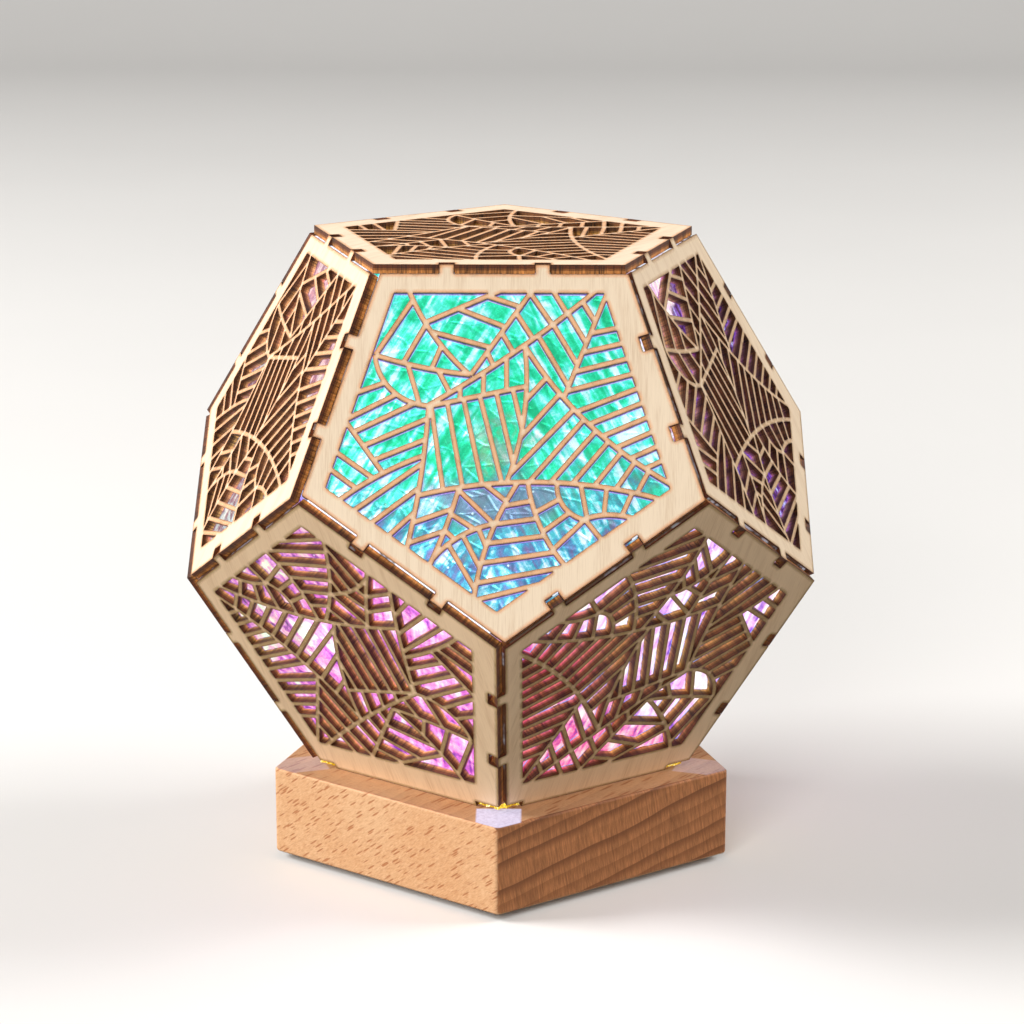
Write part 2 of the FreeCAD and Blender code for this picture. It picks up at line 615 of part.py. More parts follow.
# ---- Write every piece ----
def write(name, shape):
    shape.exportStep(f"parts/{name}.step")
    print(f"{name}: {len(shape.Solids)} solids, {len(shape.Faces)} faces, {shape.Volume:.1f} mm3, "
          f"valid {shape.isValid()}")


def main():
    os.makedirs("parts", exist_ok=True)
    holes = lattice_holes()
    print(f"lattice holes: {len(holes)}")
    panels = {kinds: panel(kinds, holes) for kinds in (TOP_EDGES, UPPER_EDGES, LOWER_EDGES)}
    for name, kinds, placement in shade_faces():
        level, _, number = name.partition("_")
        ending = f"_{number}" if number else ""
        plate = panels[kinds].copy()
        plate.Placement = placement
        write(f"{level}_panel{ending}", plate)
        sheet = film_sheet()
        sheet.Placement = placement
        write(f"{level}_film{ending}", sheet)
    write("film_corner_folds", film_corner_folds())

    write("base_block", base_block())
    write("bottom_cover", bottom_cover())
    write("cover_screws", Part.makeCompound([cover_screw(place) for place in cover_screw_places()]))
    write("feet", Part.makeCompound([foot(polar(FOOT_RING, FRONT + STEP * k)) for k in range(5)]))
    write("light_board", light_board())
    write("light_chips", light_chips())
    seat = BASE_TOP - WELL_DEPTH + BOARD
    write("light_board_screws",
          Part.makeCompound([board_screw(place, seat, 1) for place in light_screw_places()]))
    write("diffuser_disc", diffuser_disc())
    write("diffuser_ring", diffuser_ring())
    write("control_board", control_board())
    write("driver_chip", driver_chip())
    seat = POCKET_TOP - BOARD
    write("control_board_screws",
          Part.makeCompound([board_screw(place, seat, -1) for place in control_screw_places()]))
    write("inlet_shell", inlet_shell())
    write("inlet_tongue", inlet_tongue())
    write("inlet_bezel", inlet_bezel())
    write("switch_body", switch_body())
    write("power_button", power_button())
    write("red_wire", wire(WIRE_HOLE[0] - WIRE_SPACING / 2))
    write("black_wire", wire(WIRE_HOLE[0] + WIRE_SPACING / 2))


main()
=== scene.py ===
"""The looks of a lattice table lamp: a plywood dodecahedron lined with iridescent film on a beech base.

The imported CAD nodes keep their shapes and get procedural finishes. The film sheets, the folded film at the
bottom corners and the slips of film that show in the joints are new pieces, worked out as numpy surfaces.
Sizes are in millimetres until a mesh is made. +Z is up and -Y is the front.
"""
import logging
import math
from dataclasses import dataclass, field
from enum import Enum

import bpy
import numpy as np
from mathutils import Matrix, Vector


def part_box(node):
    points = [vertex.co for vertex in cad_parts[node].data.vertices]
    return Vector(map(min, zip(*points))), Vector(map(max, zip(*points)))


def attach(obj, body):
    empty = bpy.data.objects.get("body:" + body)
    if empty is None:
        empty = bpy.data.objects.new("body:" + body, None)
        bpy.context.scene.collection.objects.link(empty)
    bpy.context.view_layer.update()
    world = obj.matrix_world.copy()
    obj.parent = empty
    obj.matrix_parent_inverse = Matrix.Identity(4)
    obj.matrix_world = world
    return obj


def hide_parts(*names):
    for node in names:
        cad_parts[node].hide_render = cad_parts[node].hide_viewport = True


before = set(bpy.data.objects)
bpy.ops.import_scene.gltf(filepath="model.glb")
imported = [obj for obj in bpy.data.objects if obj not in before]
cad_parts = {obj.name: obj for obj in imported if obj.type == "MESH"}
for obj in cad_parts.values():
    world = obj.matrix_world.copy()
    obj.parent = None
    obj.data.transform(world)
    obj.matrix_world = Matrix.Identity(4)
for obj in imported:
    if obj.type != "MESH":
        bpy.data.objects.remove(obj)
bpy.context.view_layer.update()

LOG = logging.getLogger("lattice_lamp")
MM = 0.001
GOLDEN = (1 + math.sqrt(5)) / 2
FRONT, STEP = -90.0, 72.0                  # the azimuth of the front, and a fifth of a turn
PLY = 2.0                                  # the panels' thickness
CHIP_RINGS = ((12, 18.0), (6, 9.0))        # how many light chips each ring has, and the ring's radius

Colour = tuple[float, float, float]


# ---------------------------------------------------------------- shader expressions
class Socket:
    """A shader output that can be added, multiplied and compared like a number."""

    def __init__(self, graph: "Graph", output: bpy.types.NodeSocket) -> None:
        """Keeps the graph and the output."""
        self.graph = graph
        self.output = output

    def _math(self, operation: str, *values: "Value") -> "Socket":
        """One Math node on these values."""
        return self.graph.node("ShaderNodeMath", {"operation": operation}, dict(enumerate(values)))

    def __add__(self, other: "Value") -> "Socket":
        """self + other."""
        return self._math("ADD", self, other)

    def __sub__(self, other: "Value") -> "Socket":
        """self - other."""
        return self._math("SUBTRACT", self, other)

    def __rsub__(self, other: "Value") -> "Socket":
        """other - self."""
        return self._math("SUBTRACT", other, self)

    def __mul__(self, other: "Value") -> "Socket":
        """self * other."""
        return self._math("MULTIPLY", self, other)

    def __truediv__(self, other: "Value") -> "Socket":
        """self / other."""
        return self._math("DIVIDE", self, other)

    def __rtruediv__(self, other: "Value") -> "Socket":
        """other / self."""
        return self._math("DIVIDE", other, self)

    def __pow__(self, other: "Value") -> "Socket":
        """self raised to other."""
        return self._math("POWER", self, other)

    def __abs__(self) -> "Socket":
        """The size of self without its sign."""
        return self._math("ABSOLUTE", self)

    def __lt__(self, other: "Value") -> "Socket":
        """1 where self is less than other, and 0 elsewhere."""
        return self._math("LESS_THAN", self, other)

    def __gt__(self, other: "Value") -> "Socket":
        """1 where self is more than other, and 0 elsewhere."""
        return self._math("GREATER_THAN", self, other)

    def largest(self, other: "Value") -> "Socket":
        """The larger of self and other."""
        return self._math("MAXIMUM", self, other)

    def least(self, other: "Value") -> "Socket":
        """The smaller of self and other."""
        return self._math("MINIMUM", self, other)

    def sine(self) -> "Socket":
        """The sine of self in radians."""
        return self._math("SINE", self)

    def fraction(self) -> "Socket":
        """What is left of self above its whole number."""
        return self._math("FRACT", self)

    def rise(self, low: float, high: float) -> "Socket":
        """0 below low, 1 above high and a smooth step between. With low above high it falls instead."""
        settings = {"interpolation_type": "SMOOTHSTEP"}
        return self.graph.node("ShaderNodeMapRange", settings, {0: self, 1: low, 2: high})

    __radd__ = __add__
    __rmul__ = __mul__


Value = Socket | float


class Graph:
    """A material's node tree while it is being built. Patterns are in millimetres."""

    def __init__(self, name: str) -> None:
        """Starts an empty material.

        Args:
            name: the material's name.
        """
        self.material = bpy.data.materials.new(name)
        self.material.use_nodes = True
        self.tree = self.material.node_tree
        self.tree.nodes.clear()
        self.place = self.scaled(self.node("ShaderNodeTexCoord", output="Object"), 1 / MM)
        self.normal = self.node("ShaderNodeTexCoord", output="Normal")

    def node(self, kind: str, settings: dict | None = None, inputs: dict | None = None,
             output: int | str = 0) -> Socket:
        """Adds one node.

        Args:
            kind: the node's type.
            settings: its properties, and "stops" for a ramp as (position, colour) pairs.
            inputs: values or sockets by input name or number.
            output: the output that is wanted, by name or number.

        Returns:
            The output as a Socket.
        """
        made = self.tree.nodes.new(kind)
        for key, value in (settings or {}).items():
            if key == "stops":
                ramp = made.color_ramp.elements
                while len(ramp) < len(value):
                    ramp.new(1.0)
                for element, (position, colour) in zip(ramp, value):
                    element.position = position
                    element.color = (*colour, 1.0)
            else:
                setattr(made, key, value)
        for key, value in (inputs or {}).items():
            if isinstance(value, Socket):
                self.tree.links.new(value.output, made.inputs[key])
            elif isinstance(value, tuple) and made.inputs[key].type == "RGBA":
                made.inputs[key].default_value = (*value, 1.0)
            else:
                made.inputs[key].default_value = value
        return Socket(self, made.outputs[output] if len(made.outputs) else None)

    def vector(self, operation: str, *values: "Value | Colour", output: int = 0) -> Socket:
        """One Vector Math node on these values."""
        return self.node("ShaderNodeVectorMath", {"operation": operation}, dict(enumerate(values)), output)

    def scaled(self, vector: Socket, factor: float) -> Socket:
        """A vector times a number."""
        return self.node("ShaderNodeVectorMath", {"operation": "SCALE"}, {0: vector, "Scale": factor})

    def dot(self, vector: Socket, axis: "Socket | Colour") -> Socket:
        """How far a vector reaches along an axis."""
        return self.vector("DOT_PRODUCT", vector, axis, output=1)

    def join(self, x: Value, y: Value, z: Value = 0.0) -> Socket:
        """A vector from three numbers."""
        return self.node("ShaderNodeCombineXYZ", inputs={0: x, 1: y, 2: z})

    def part(self, vector: Socket, index: int) -> Socket:
        """One of a vector's three numbers."""
        return self.node("ShaderNodeSeparateXYZ", inputs={0: vector}, output=index)

    def noise(self, vector: Socket, scale: float, detail: float = 3.0, roughness: float = 0.55,
              distortion: float = 0.0) -> Socket:
        """Cloudy noise from 0 to 1 on a vector."""
        inputs = {"Vector": vector, "Scale": scale, "Detail": detail, "Roughness": roughness,
                  "Distortion": distortion}
        return self.node("ShaderNodeTexNoise", inputs=inputs)

    def cells(self, vector: Socket, scale: float, feature: str = "F1", output: str = "Distance",
              spread: float = 1.0) -> Socket:
        """Voronoi cells on a vector."""
        inputs = {"Vector": vector, "Scale": scale, "Randomness": spread}
        return self.node("ShaderNodeTexVoronoi", {"feature": feature}, inputs, output)

    def mix(self, factor: Value, first: "Socket | Colour", second: "Socket | Colour",
            blend: str = "MIX") -> Socket:
        """Colour first, turning to second as factor goes from 0 to 1."""
        settings = {"data_type": "RGBA", "blend_type": blend, "clamp_factor": True}
        return self.node("ShaderNodeMix", settings, {0: factor, 6: first, 7: second}, 2)

    def shade(self, colour: "Socket | Colour", factor: Value) -> Socket:
        """A colour made lighter or darker by a factor."""
        grey = self.join(factor, factor, factor)
        return self.mix(1.0, colour, grey, "MULTIPLY")

    def ramp(self, factor: Socket, *stops: tuple[float, Colour]) -> Socket:
        """A colour ramp through these stops."""
        return self.node("ShaderNodeValToRGB", {"stops": stops}, {0: factor})

    def bump(self, height: Socket, distance: float, strength: float = 1.0) -> Socket:
        """A bumped normal from a height from 0 to 1 that stands for distance millimetres."""
        inputs = {"Strength": strength, "Distance": distance * MM, "Height": height}
        return self.node("ShaderNodeBump", inputs=inputs, output="Normal")

    def finish(self, **inputs: "Value | Colour") -> bpy.types.Material:
        """Ends the graph with one Principled shader.

        Args:
            inputs: socket values or links, with an underscore for each space in a socket's name.

        Returns:
            The material.
        """
        named = {key.replace("_", " "): value for key, value in inputs.items()}
        shader = self.node("ShaderNodeBsdfPrincipled", inputs=named)
        self.node("ShaderNodeOutputMaterial", inputs={"Surface": shader})
        return self.material


# ---------------------------------------------------------------- where things are
def polar(radius: float, azimuth: float, height: float = 0.0) -> np.ndarray:
    """A point at this radius, azimuth in degrees and height."""
    angle = math.radians(azimuth)
    return np.array([radius * math.cos(angle), radius * math.sin(angle), height])


def unit(vector: np.ndarray) -> np.ndarray:
    """A vector made one long."""
    return vector / np.linalg.norm(vector)


@dataclass(frozen=True)
class Face:
    """One face of the shade with its own axes: across from its first corner to its second, and out."""

    name: str
    centre: np.ndarray
    across: np.ndarray
    up: np.ndarray
    out: np.ndarray

    @classmethod
    def through(cls, name: str, corners: list[np.ndarray]) -> "Face":
        """The face with these corners.

        Args:
            name: the face's name.
            corners: its corners, clockwise seen from outside.

        Returns:
            The face.
        """
        across = unit(corners[1] - corners[0])
        out = unit(np.cross(corners[2] - corners[1], corners[1] - corners[0]))
        return cls(name, sum(corners) / len(corners), across, np.cross(out, across), out)

    def placed(self, points: np.ndarray) -> np.ndarray:
        """Points in the face's own frame, moved to where the face is."""
        return self.centre + points @ np.array([self.across, self.up, self.out])

    def local(self, graph: Graph) -> tuple[Socket, Socket, Socket]:
        """The shader's across, up and depth (inwards) coordinates on this face, in millimetres."""
        moved = graph.vector("SUBTRACT", graph.place, tuple(self.centre))
        return tuple(graph.dot(moved, tuple(axis)) for axis in (self.across, self.up, -self.out))


@dataclass(frozen=True)
class Dodecahedron:
    """The sharp-edged solid that the shade's panels lie on."""

    edge: float
    centre_height: float

    @classmethod
    def from_frame(cls) -> "Dodecahedron":
        """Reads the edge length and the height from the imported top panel.

        Returns:
            The solid, whose top face is as wide as a diagonal of that panel: the edge times the golden ratio.
        """
        low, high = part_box("top_panel")
        edge = (high.x - low.x) / MM / GOLDEN
        return cls(edge, high.z / MM - cls(edge, 0.0).body_inradius)

    @property
    def face_radius(self) -> float:
        """From a face's centre to its corners."""
        return self.edge / (2 * math.sin(math.radians(36)))

    @property
    def body_inradius(self) -> float:
        """From the solid's centre to its faces."""
        return self.edge / 2 * math.sqrt(2.5 + 1.1 * math.sqrt(5))

    def corner(self, level: int, azimuth: float) -> np.ndarray:
        """A corner of the solid.

        Args:
            level: 2 for the top face's corners, 1 and -1 for the two rings, -2 for the bottom face's.
            azimuth: its azimuth in degrees.

        Returns:
            The corner's place.
        """
        radius = self.face_radius * (GOLDEN if abs(level) == 1 else 1)
        rise = self.body_inradius - (self.face_radius if abs(level) == 1 else 0)
        return polar(radius, azimuth, self.centre_height + math.copysign(rise, level))

    def faces(self) -> list[Face]:
        """The eleven faces that carry panels.

        Returns:
            The top face and then the two rings from the front round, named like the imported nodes.
        """
        half = STEP / 2
        made = [Face.through("top", [self.corner(2, 90 - STEP * k) for k in range(5)])]
        for k in range(5):
            a = FRONT + STEP * k
            made.append(Face.through(f"upper_{k + 1}", [
                self.corner(2, a - half), self.corner(2, a + half), self.corner(1, a + half),
                self.corner(-1, a), self.corner(1, a - half)]))
        for k in range(5):
            a = FRONT + half + STEP * k
            made.append(Face.through(f"lower_{k + 1}", [
                self.corner(-2, a + half), self.corner(-2, a - half), self.corner(-1, a - half),
                self.corner(1, a), self.corner(-1, a + half)]))
        return made

    @staticmethod
    def node(face: Face, kind: str) -> str:
        """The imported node's name for a face's panel or film."""
        level, _, number = face.name.partition("_")
        return f"{level}_{kind}_{number}" if number else f"{level}_{kind}"


def side_reach(across: Socket, up: Socket) -> Socket:
    """How far a point on a face is towards its nearest side.

    Args:
        across: the point's place across the face.
        up: its place up the face.

    Returns:
        The largest of its reaches along the five sides' normals.
    """
    reach = None
    for k in range(5):
        normal = polar(1, 90 - STEP * k)
        along = across * float(normal[0]) + up * float(normal[1])
        reach = along if reach is None else reach.largest(along)
    return reach


def swept(across: Socket, up: Socket, sweep: float) -> Socket:
    """How far a point on a face is along a direction that is swept this many degrees from straight down."""
    lean = math.radians(sweep)
    return across * math.sin(lean) - up * math.cos(lean)


# ---------------------------------------------------------------- meshes
def make_object(name: str, points: np.ndarray, faces: list[list[int]], material: bpy.types.Material,
                smooth: bool = True) -> bpy.types.Object:
    """A mesh object at the origin.

    Args:
        name: the piece's name.
        points: its vertices in millimetres, one row each.
        faces: its faces as lists of vertex numbers.
        material: its finish.
        smooth: whether it is shaded smooth.

    Returns:
        The object, linked to the scene.
    """
    mesh = bpy.data.meshes.new(name)
    mesh.from_pydata((points * MM).tolist(), [], faces)
    mesh.polygons.foreach_set("use_smooth", [smooth] * len(mesh.polygons))
    mesh.materials.append(material)
    made = bpy.data.objects.new(name, mesh)
    bpy.context.scene.collection.objects.link(made)
    return made


def thicken(piece: bpy.types.Object, thickness: float) -> None:
    """Gives a sheet its thickness, half to each side, with its rim closed.

    Args:
        piece: the sheet.
        thickness: in millimetres.
    """
    wall = piece.modifiers.new("thickness", "SOLIDIFY")
    wall.thickness = thickness * MM
    wall.offset = 0.0


def grid_faces(rows: int, columns: int, wrapped: bool = False) -> list[list[int]]:
    """Quads of a grid whose vertices run along each row in turn.

    Args:
        rows: how many rows of vertices it has.
        columns: how many vertices a row has.
        wrapped: whether each row closes on itself.

    Returns:
        The quads as vertex numbers.
    """
    row, column = np.meshgrid(np.arange(rows - 1), np.arange(columns - (not wrapped)), indexing="ij")
    following = (column + 1) % columns
    corners = [row * columns + column, (row + 1) * columns + column,
               (row + 1) * columns + following, row * columns + following]
    return np.stack(corners, axis=-1).reshape(-1, 4).tolist()


def dress(material: bpy.types.Material, *nodes: str) -> None:
    """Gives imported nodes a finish.

    Args:
        material: the finish.
        nodes: the nodes' names.
    """
    for node in nodes:
        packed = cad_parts[node]
        if not packed.material_slots:
            packed.data.materials.append(material)
        for place in packed.material_slots:
            place.material = material
        LOG.info("dressed %s with %s", node, material.name)


# ---------------------------------------------------------------- finishes of the shade
Place = tuple[Socket, Socket, Socket]
Shades = tuple[Colour, Colour, Colour, Colour]


class ScorchAndShade(Enum):
    """How brown a panel is: scorched by the laser on its ribs, and tinted with painted shade on its veneer.

    The values are how much of the scorch shows on the ribs, its two browns, and the tint of the veneer, a
    painted shade that is darkest on the panels that face down.
    """

    LIGHT = (0.88, (0.84, 0.38, 0.15), (0.52, 0.20, 0.05), (1.0, 1.0, 1.0))
    MEDIUM = (0.92, (0.56, 0.33, 0.15), (0.28, 0.13, 0.04), (1.0, 0.97, 0.93))
    HEAVY = (0.95, (0.37, 0.225, 0.070), (0.19, 0.095, 0.024), (0.98, 0.88, 0.76))


@dataclass(frozen=True)
class Bleed:
    """The film's light painted on the cut walls: its colour and strength, and the thin painted highlight line
    of it next to the film.

    Where it has a gate, the light keeps to one side of the face, along the sweep's angle from straight down.
    """

    wall: Colour
    rim: Colour
    strength: float
    start: float = 0.9
    patches: tuple[float, float] = (0.42, 0.66)
    line: float = 0.35
    sweep: float = 0.0
    gate: tuple[float, float] = (-60.0, -50.0)


@dataclass(frozen=True)
class Plywood:
    """Laser-cut plywood: pale veneer faces, scorched next to every cut, and burnt walls of three plies, with
    the film's light painted on the walls.
    """

    pale: Colour = (0.87, 0.71, 0.53)
    dark: Colour = (0.71, 0.53, 0.36)
    burn: Colour = (0.13, 0.045, 0.014)
    outer_ply: Colour = (0.115, 0.040, 0.011)
    glue: Colour = (0.040, 0.012, 0.004)
    middle_ply: Colour = (0.24, 0.115, 0.030)
    inner_ply: Colour = (0.56, 0.31, 0.085)
    char: Colour = (0.024, 0.007, 0.003)
    end_tint: Colour = (0.88, 0.62, 0.55)
    scorch_reach: float = 1.0
    outline_reach: float = 0.34
    window: float = 31.0

    def build(self, face: Face, bleed: Bleed, scorch_and_shade: ScorchAndShade) -> bpy.types.Material:
        """The finish of one panel.

        Args:
            face: the panel's face, for its grain and its plies.
            bleed: the film's light, painted on the cut walls.
            scorch_and_shade: how brown the ribs are, and the veneer's tint of painted shade.

        Returns:
            The material.
        """
        g = Graph(f"plywood_{face.name}")
        place = across, up, depth = face.local(g)
        flat = abs(g.dot(g.normal, tuple(face.out))).rise(0.6, 0.85)
        border = side_reach(across, up).rise(self.window, self.window + 1)
        fibres = g.noise(g.join(across * 4.2, up * 0.16, depth), 1.0, 5.0, 0.62)
        haze = g.noise(g.join(across, up, 0.0), 0.30, 4.0, 0.6)
        rows = g.noise(g.join(across * 2.4, up * 2.4, depth * 0.10), 1.0, 4.0, 0.8)
        soot = g.noise(g.join(across, up, depth * 0.4), 0.24, 3.0, 0.5)

        veneer = self.veneer(g, place, fibres, haze, scorch_and_shade)
        wall = g.shade(self.plies(g, place), rows.rise(0.32, 0.68) * 1.3 + soot.rise(0.34, 0.66) * 0.8)
        wall = g.mix(border, wall, g.mix(1.0, wall, self.end_tint, "MULTIPLY"))

        # Painted light: the film's coloured light as emission on the cut walls, strongest next to the film,
        # with a thin painted highlight line where the walls meet it.
        opening = (1.0 - flat) * (1.0 - border)
        side = swept(across, up, bleed.sweep).rise(*bleed.gate)
        patches = (soot.rise(*bleed.patches) * 0.85 + 0.15) * side
        reached = depth.rise(bleed.start, PLY) * opening * patches
        cast = g.mix(depth.rise(1.5, 1.95), bleed.wall, bleed.rim)
        glow = g.shade(cast, reached * bleed.strength * (0.6 + rows * 0.8))
        line = depth.rise(1.76, 1.90) * opening * haze.rise(0.42, 0.54)
        glow = g.mix(line * bleed.line, glow, bleed.rim)
        ridges = fibres * flat * 0.35 + rows * (1.0 - flat)
        return g.finish(Base_Color=g.mix(flat, wall, veneer), Roughness=0.50 + fibres * 0.25,
                        Specular_IOR_Level=0.35, Emission_Color=glow, Emission_Strength=1.0,
                        Normal=g.bump(ridges, 0.12, 0.6))

    def veneer(self, g: Graph, place: Place, fibres: Socket, haze: Socket, scorch_and_shade: ScorchAndShade) -> Socket:
        """The outer faces: fine grain up the panel, scorched near the cuts and outlined right at them.

        Args:
            g: the material's graph.
            place: the panel's across, up and depth.
            fibres: the fine grain.
            haze: cloudy noise for where the scorch is stronger.
            scorch_and_shade: how brown the ribs are, and the veneer's tint of painted shade.

        Returns:
            The faces' colour.
        """
        across, up, depth = place
        figure = g.noise(g.join(across * 0.35, up * 0.03, depth), 1.0, 2.0, 0.5, 0.6)
        pores = g.cells(g.join(across * 3.4, up * 0.55, depth), 1.0).rise(0.16, 0.05)
        veneer = g.ramp(fibres * 0.6 + figure * 0.4, (0.32, self.dark), (0.52, self.pale),
                        (0.70, tuple(min(1.0, c * 1.05) for c in self.pale)))
        veneer = g.mix(pores * 0.14, veneer, self.dark)
        share, tan, brown, tint = scorch_and_shade.value
        # The tint is painted shade: the veneer is browner and darker on the panels that face down.
        veneer = g.mix(1.0, veneer, tint, "MULTIPLY")
        near_cut = self.closeness(g, self.scorch_reach).rise(0.09, 0.34)
        scorch = g.mix((haze * 0.7 + fibres * 0.3).rise(0.46, 0.66), tan, brown)
        veneer = g.mix(near_cut * share, veneer, scorch)
        outline = self.closeness(g, self.outline_reach).rise(0.14, 0.44)
        return g.mix(outline * (0.5 + haze * 0.8), veneer, self.burn)

    def plies(self, g: Graph, place: Place) -> Socket:
        """The cut walls: charred rims, three plies and a glue line, whose heights wander along the cut.

        Args:
            g: the material's graph.
            place: the panel's across, up and depth.

        Returns:
            The walls' colour.
        """
        across, up, depth = place
        wander = g.noise(g.join(across, up, 0.0), 1.1, 4.0, 0.7) * 0.28 - 0.14
        return g.ramp(depth * (1 / PLY) + wander, (0.04, self.char), (0.12, self.outer_ply),
                      (0.33, self.outer_ply), (0.37, self.glue), (0.42, self.middle_ply),
                      (0.60, self.middle_ply), (0.66, self.inner_ply), (0.93, self.inner_ply),
                      (0.98, self.char))

    @staticmethod
    def closeness(graph: Graph, distance: float) -> Socket:
        """How much of the way inwards meets a cut wall within this distance: 0 far from any cut."""
        settings = {"inside": True, "only_local": True, "samples": 3}
        return 1.0 - graph.node("ShaderNodeAmbientOcclusion", settings, {"Distance": distance * MM}, "AO")


@dataclass(frozen=True)
class Film:
    """Iridescent film lit from behind: two families of colour, broken into streaks, blotches and sparks, the
    sparks being painted glints.

    Each family runs from its deepest colour to its sparks. The sheet turns from the first family to the
    second along the sweep, which is an angle from straight down the face. The gloom is a round dull patch
    in the middle, with an arc of the second family's deepest colour under it.
    """

    first: Shades
    second: Shades
    stops: tuple[float, float, float, float] = (0.40, 0.48, 0.54, 0.62)
    glow: float = 0.8
    slant: float = 60.0
    counter_slant: float = -62.0
    sweep: float = 0.0
    turn_at: tuple[float, float] = (-12.0, 14.0)
    streaks: float = 0.35
    lift: float = 0.0
    edge_lift: float = 0.0
    gloom: Colour | None = None

    def build(self, face: Face) -> bpy.types.Material:
        """The film's finish on one face.

        Args:
            face: the face that the sheet lines.

        Returns:
            The material.
        """
        g = Graph(f"film_{face.name}")
        across, up, _ = face.local(g)
        place = g.join(across, up)
        blotches = g.noise(place, 0.20, 3.0, 0.5, 1.0)
        fine = g.noise(place, 1.3, 3.0, 0.65, 0.6)
        level = blotches * (0.92 - self.streaks) + self.lines(g, across, up) * self.streaks
        level = level + fine * 0.08 + self.lift + side_reach(across, up).rise(12.0, 32.0) * self.edge_lift
        first, second = (g.ramp(level, *zip(self.stops, shades)) for shades in (self.first, self.second))
        cloud = g.noise(place, 0.10, 3.0, 0.55, 0.8)
        reached = swept(across, up, self.sweep) + cloud * 44.0 - 22.0
        body = g.mix(reached.rise(*self.turn_at), first, second)
        if self.gloom:
            away = (across * across + (up + 2.5) * (up + 2.5)) ** 0.5 + cloud * 10.0
            body = g.mix(away.rise(15.0, 9.0) * blotches.rise(0.38, 0.55) * 0.6, body, self.gloom)
            under = away.rise(13.0, 15.0) * away.rise(24.0, 19.0) * (up + 10.0).rise(2.0, -2.0)
            body = g.mix(under * 0.75, body, self.second[0])
        # Painted glints: flecks of the first family's brightest colour.
        flake = g.join(across * 0.40, up * 0.40)
        chosen = g.part(g.cells(flake, 1.0, output="Color"), 0)
        sparks = g.cells(flake, 1.0).rise(0.13, 0.05) * chosen.rise(0.70, 0.78)
        body = g.mix(sparks * 0.9, body, self.first[3])
        creases = g.cells(g.join(across * 0.16, up * 0.24), 1.0, "DISTANCE_TO_EDGE").rise(0.0, 0.10)
        return g.finish(Base_Color=g.shade(body, 0.55 + fine * 0.3), Metallic=0.9,
                        Roughness=0.18 + fine * 0.16, Emission_Color=body, Emission_Strength=self.glow,
                        Normal=g.bump(blotches * 0.5 + creases * 0.5, 0.2, 0.3))

    def lines(self, g: Graph, across: Socket, up: Socket) -> Socket:
        """Streaks at the slant on the left of the face that give way to ones at the counter slant.

        Args:
            g: the material's graph.
            across: the place across the face.
            up: the place up the face.

        Returns:
            Noise from 0 to 1, drawn out along the streaks.
        """
        drawn = []
        for slant, near, far in ((self.slant, 9.0, -9.0), (self.counter_slant, -9.0, 9.0)):
            turn = math.radians(slant)
            along = across * math.cos(turn) + up * math.sin(turn)
            beside = up * math.cos(turn) - across * math.sin(turn)
            streak = g.noise(g.join(along * 0.05, beside * 0.62), 1.0, 2.0, 0.45, 0.5)
            drawn.append(streak * across.rise(near, far))
        return drawn[0] + drawn[1]


@dataclass(frozen=True)
class GoldenFold:
    """The same film where it is bunched at the bottom corners and looks yellow."""

    bright: Colour = (1.0, 0.76, 0.07)
    deep: Colour = (0.30, 0.15, 0.01)

    def build(self) -> bpy.types.Material:
        """The folds' finish.

        Returns:
            The material.
        """
        g = Graph("film_folds")
        flakes = g.noise(g.place, 0.8, 4.0, 0.7, 1.2)
        body = g.ramp(flakes, (0.36, self.deep), (0.45, (0.70, 0.42, 0.02)), (0.54, self.bright),
                      (0.66, (1.0, 0.97, 0.62)))
        return g.finish(Base_Color=body, Metallic=0.7, Roughness=0.15 + flakes * 0.2, Emission_Color=body,
                        Emission_Strength=0.55, Normal=g.bump(flakes, 0.3, 0.6))


@dataclass(frozen=True)
class JointSlip:
    """The film's cut edge where it shows in a joint: white and lilac, with dark stretches."""

    def build(self) -> bpy.types.Material:
        """The slips' finish, which reads how bright each joint is from the mesh's own attribute.

        Returns:
            The material.
        """
        g = Graph("film_slips")
        bright = g.node("ShaderNodeAttribute", {"attribute_name": "joint_light"}, output="Fac")
        breaks = g.noise(g.place, 0.16, 3.0, 0.7)
        tint = g.ramp(g.noise(g.place, 0.3, 2.0), (0.35, (0.80, 0.92, 1.0)), (0.5, (0.80, 0.78, 1.0)),
                      (0.65, (0.72, 0.84, 0.96)))
        shown = (breaks + bright * 0.25).rise(0.52, 0.64) * bright
        return g.finish(Base_Color=g.mix(shown, (0.09, 0.035, 0.012), tint), Roughness=0.3 + breaks * 0.2,
                        Emission_Color=g.shade(tint, shown), Emission_Strength=1.0)


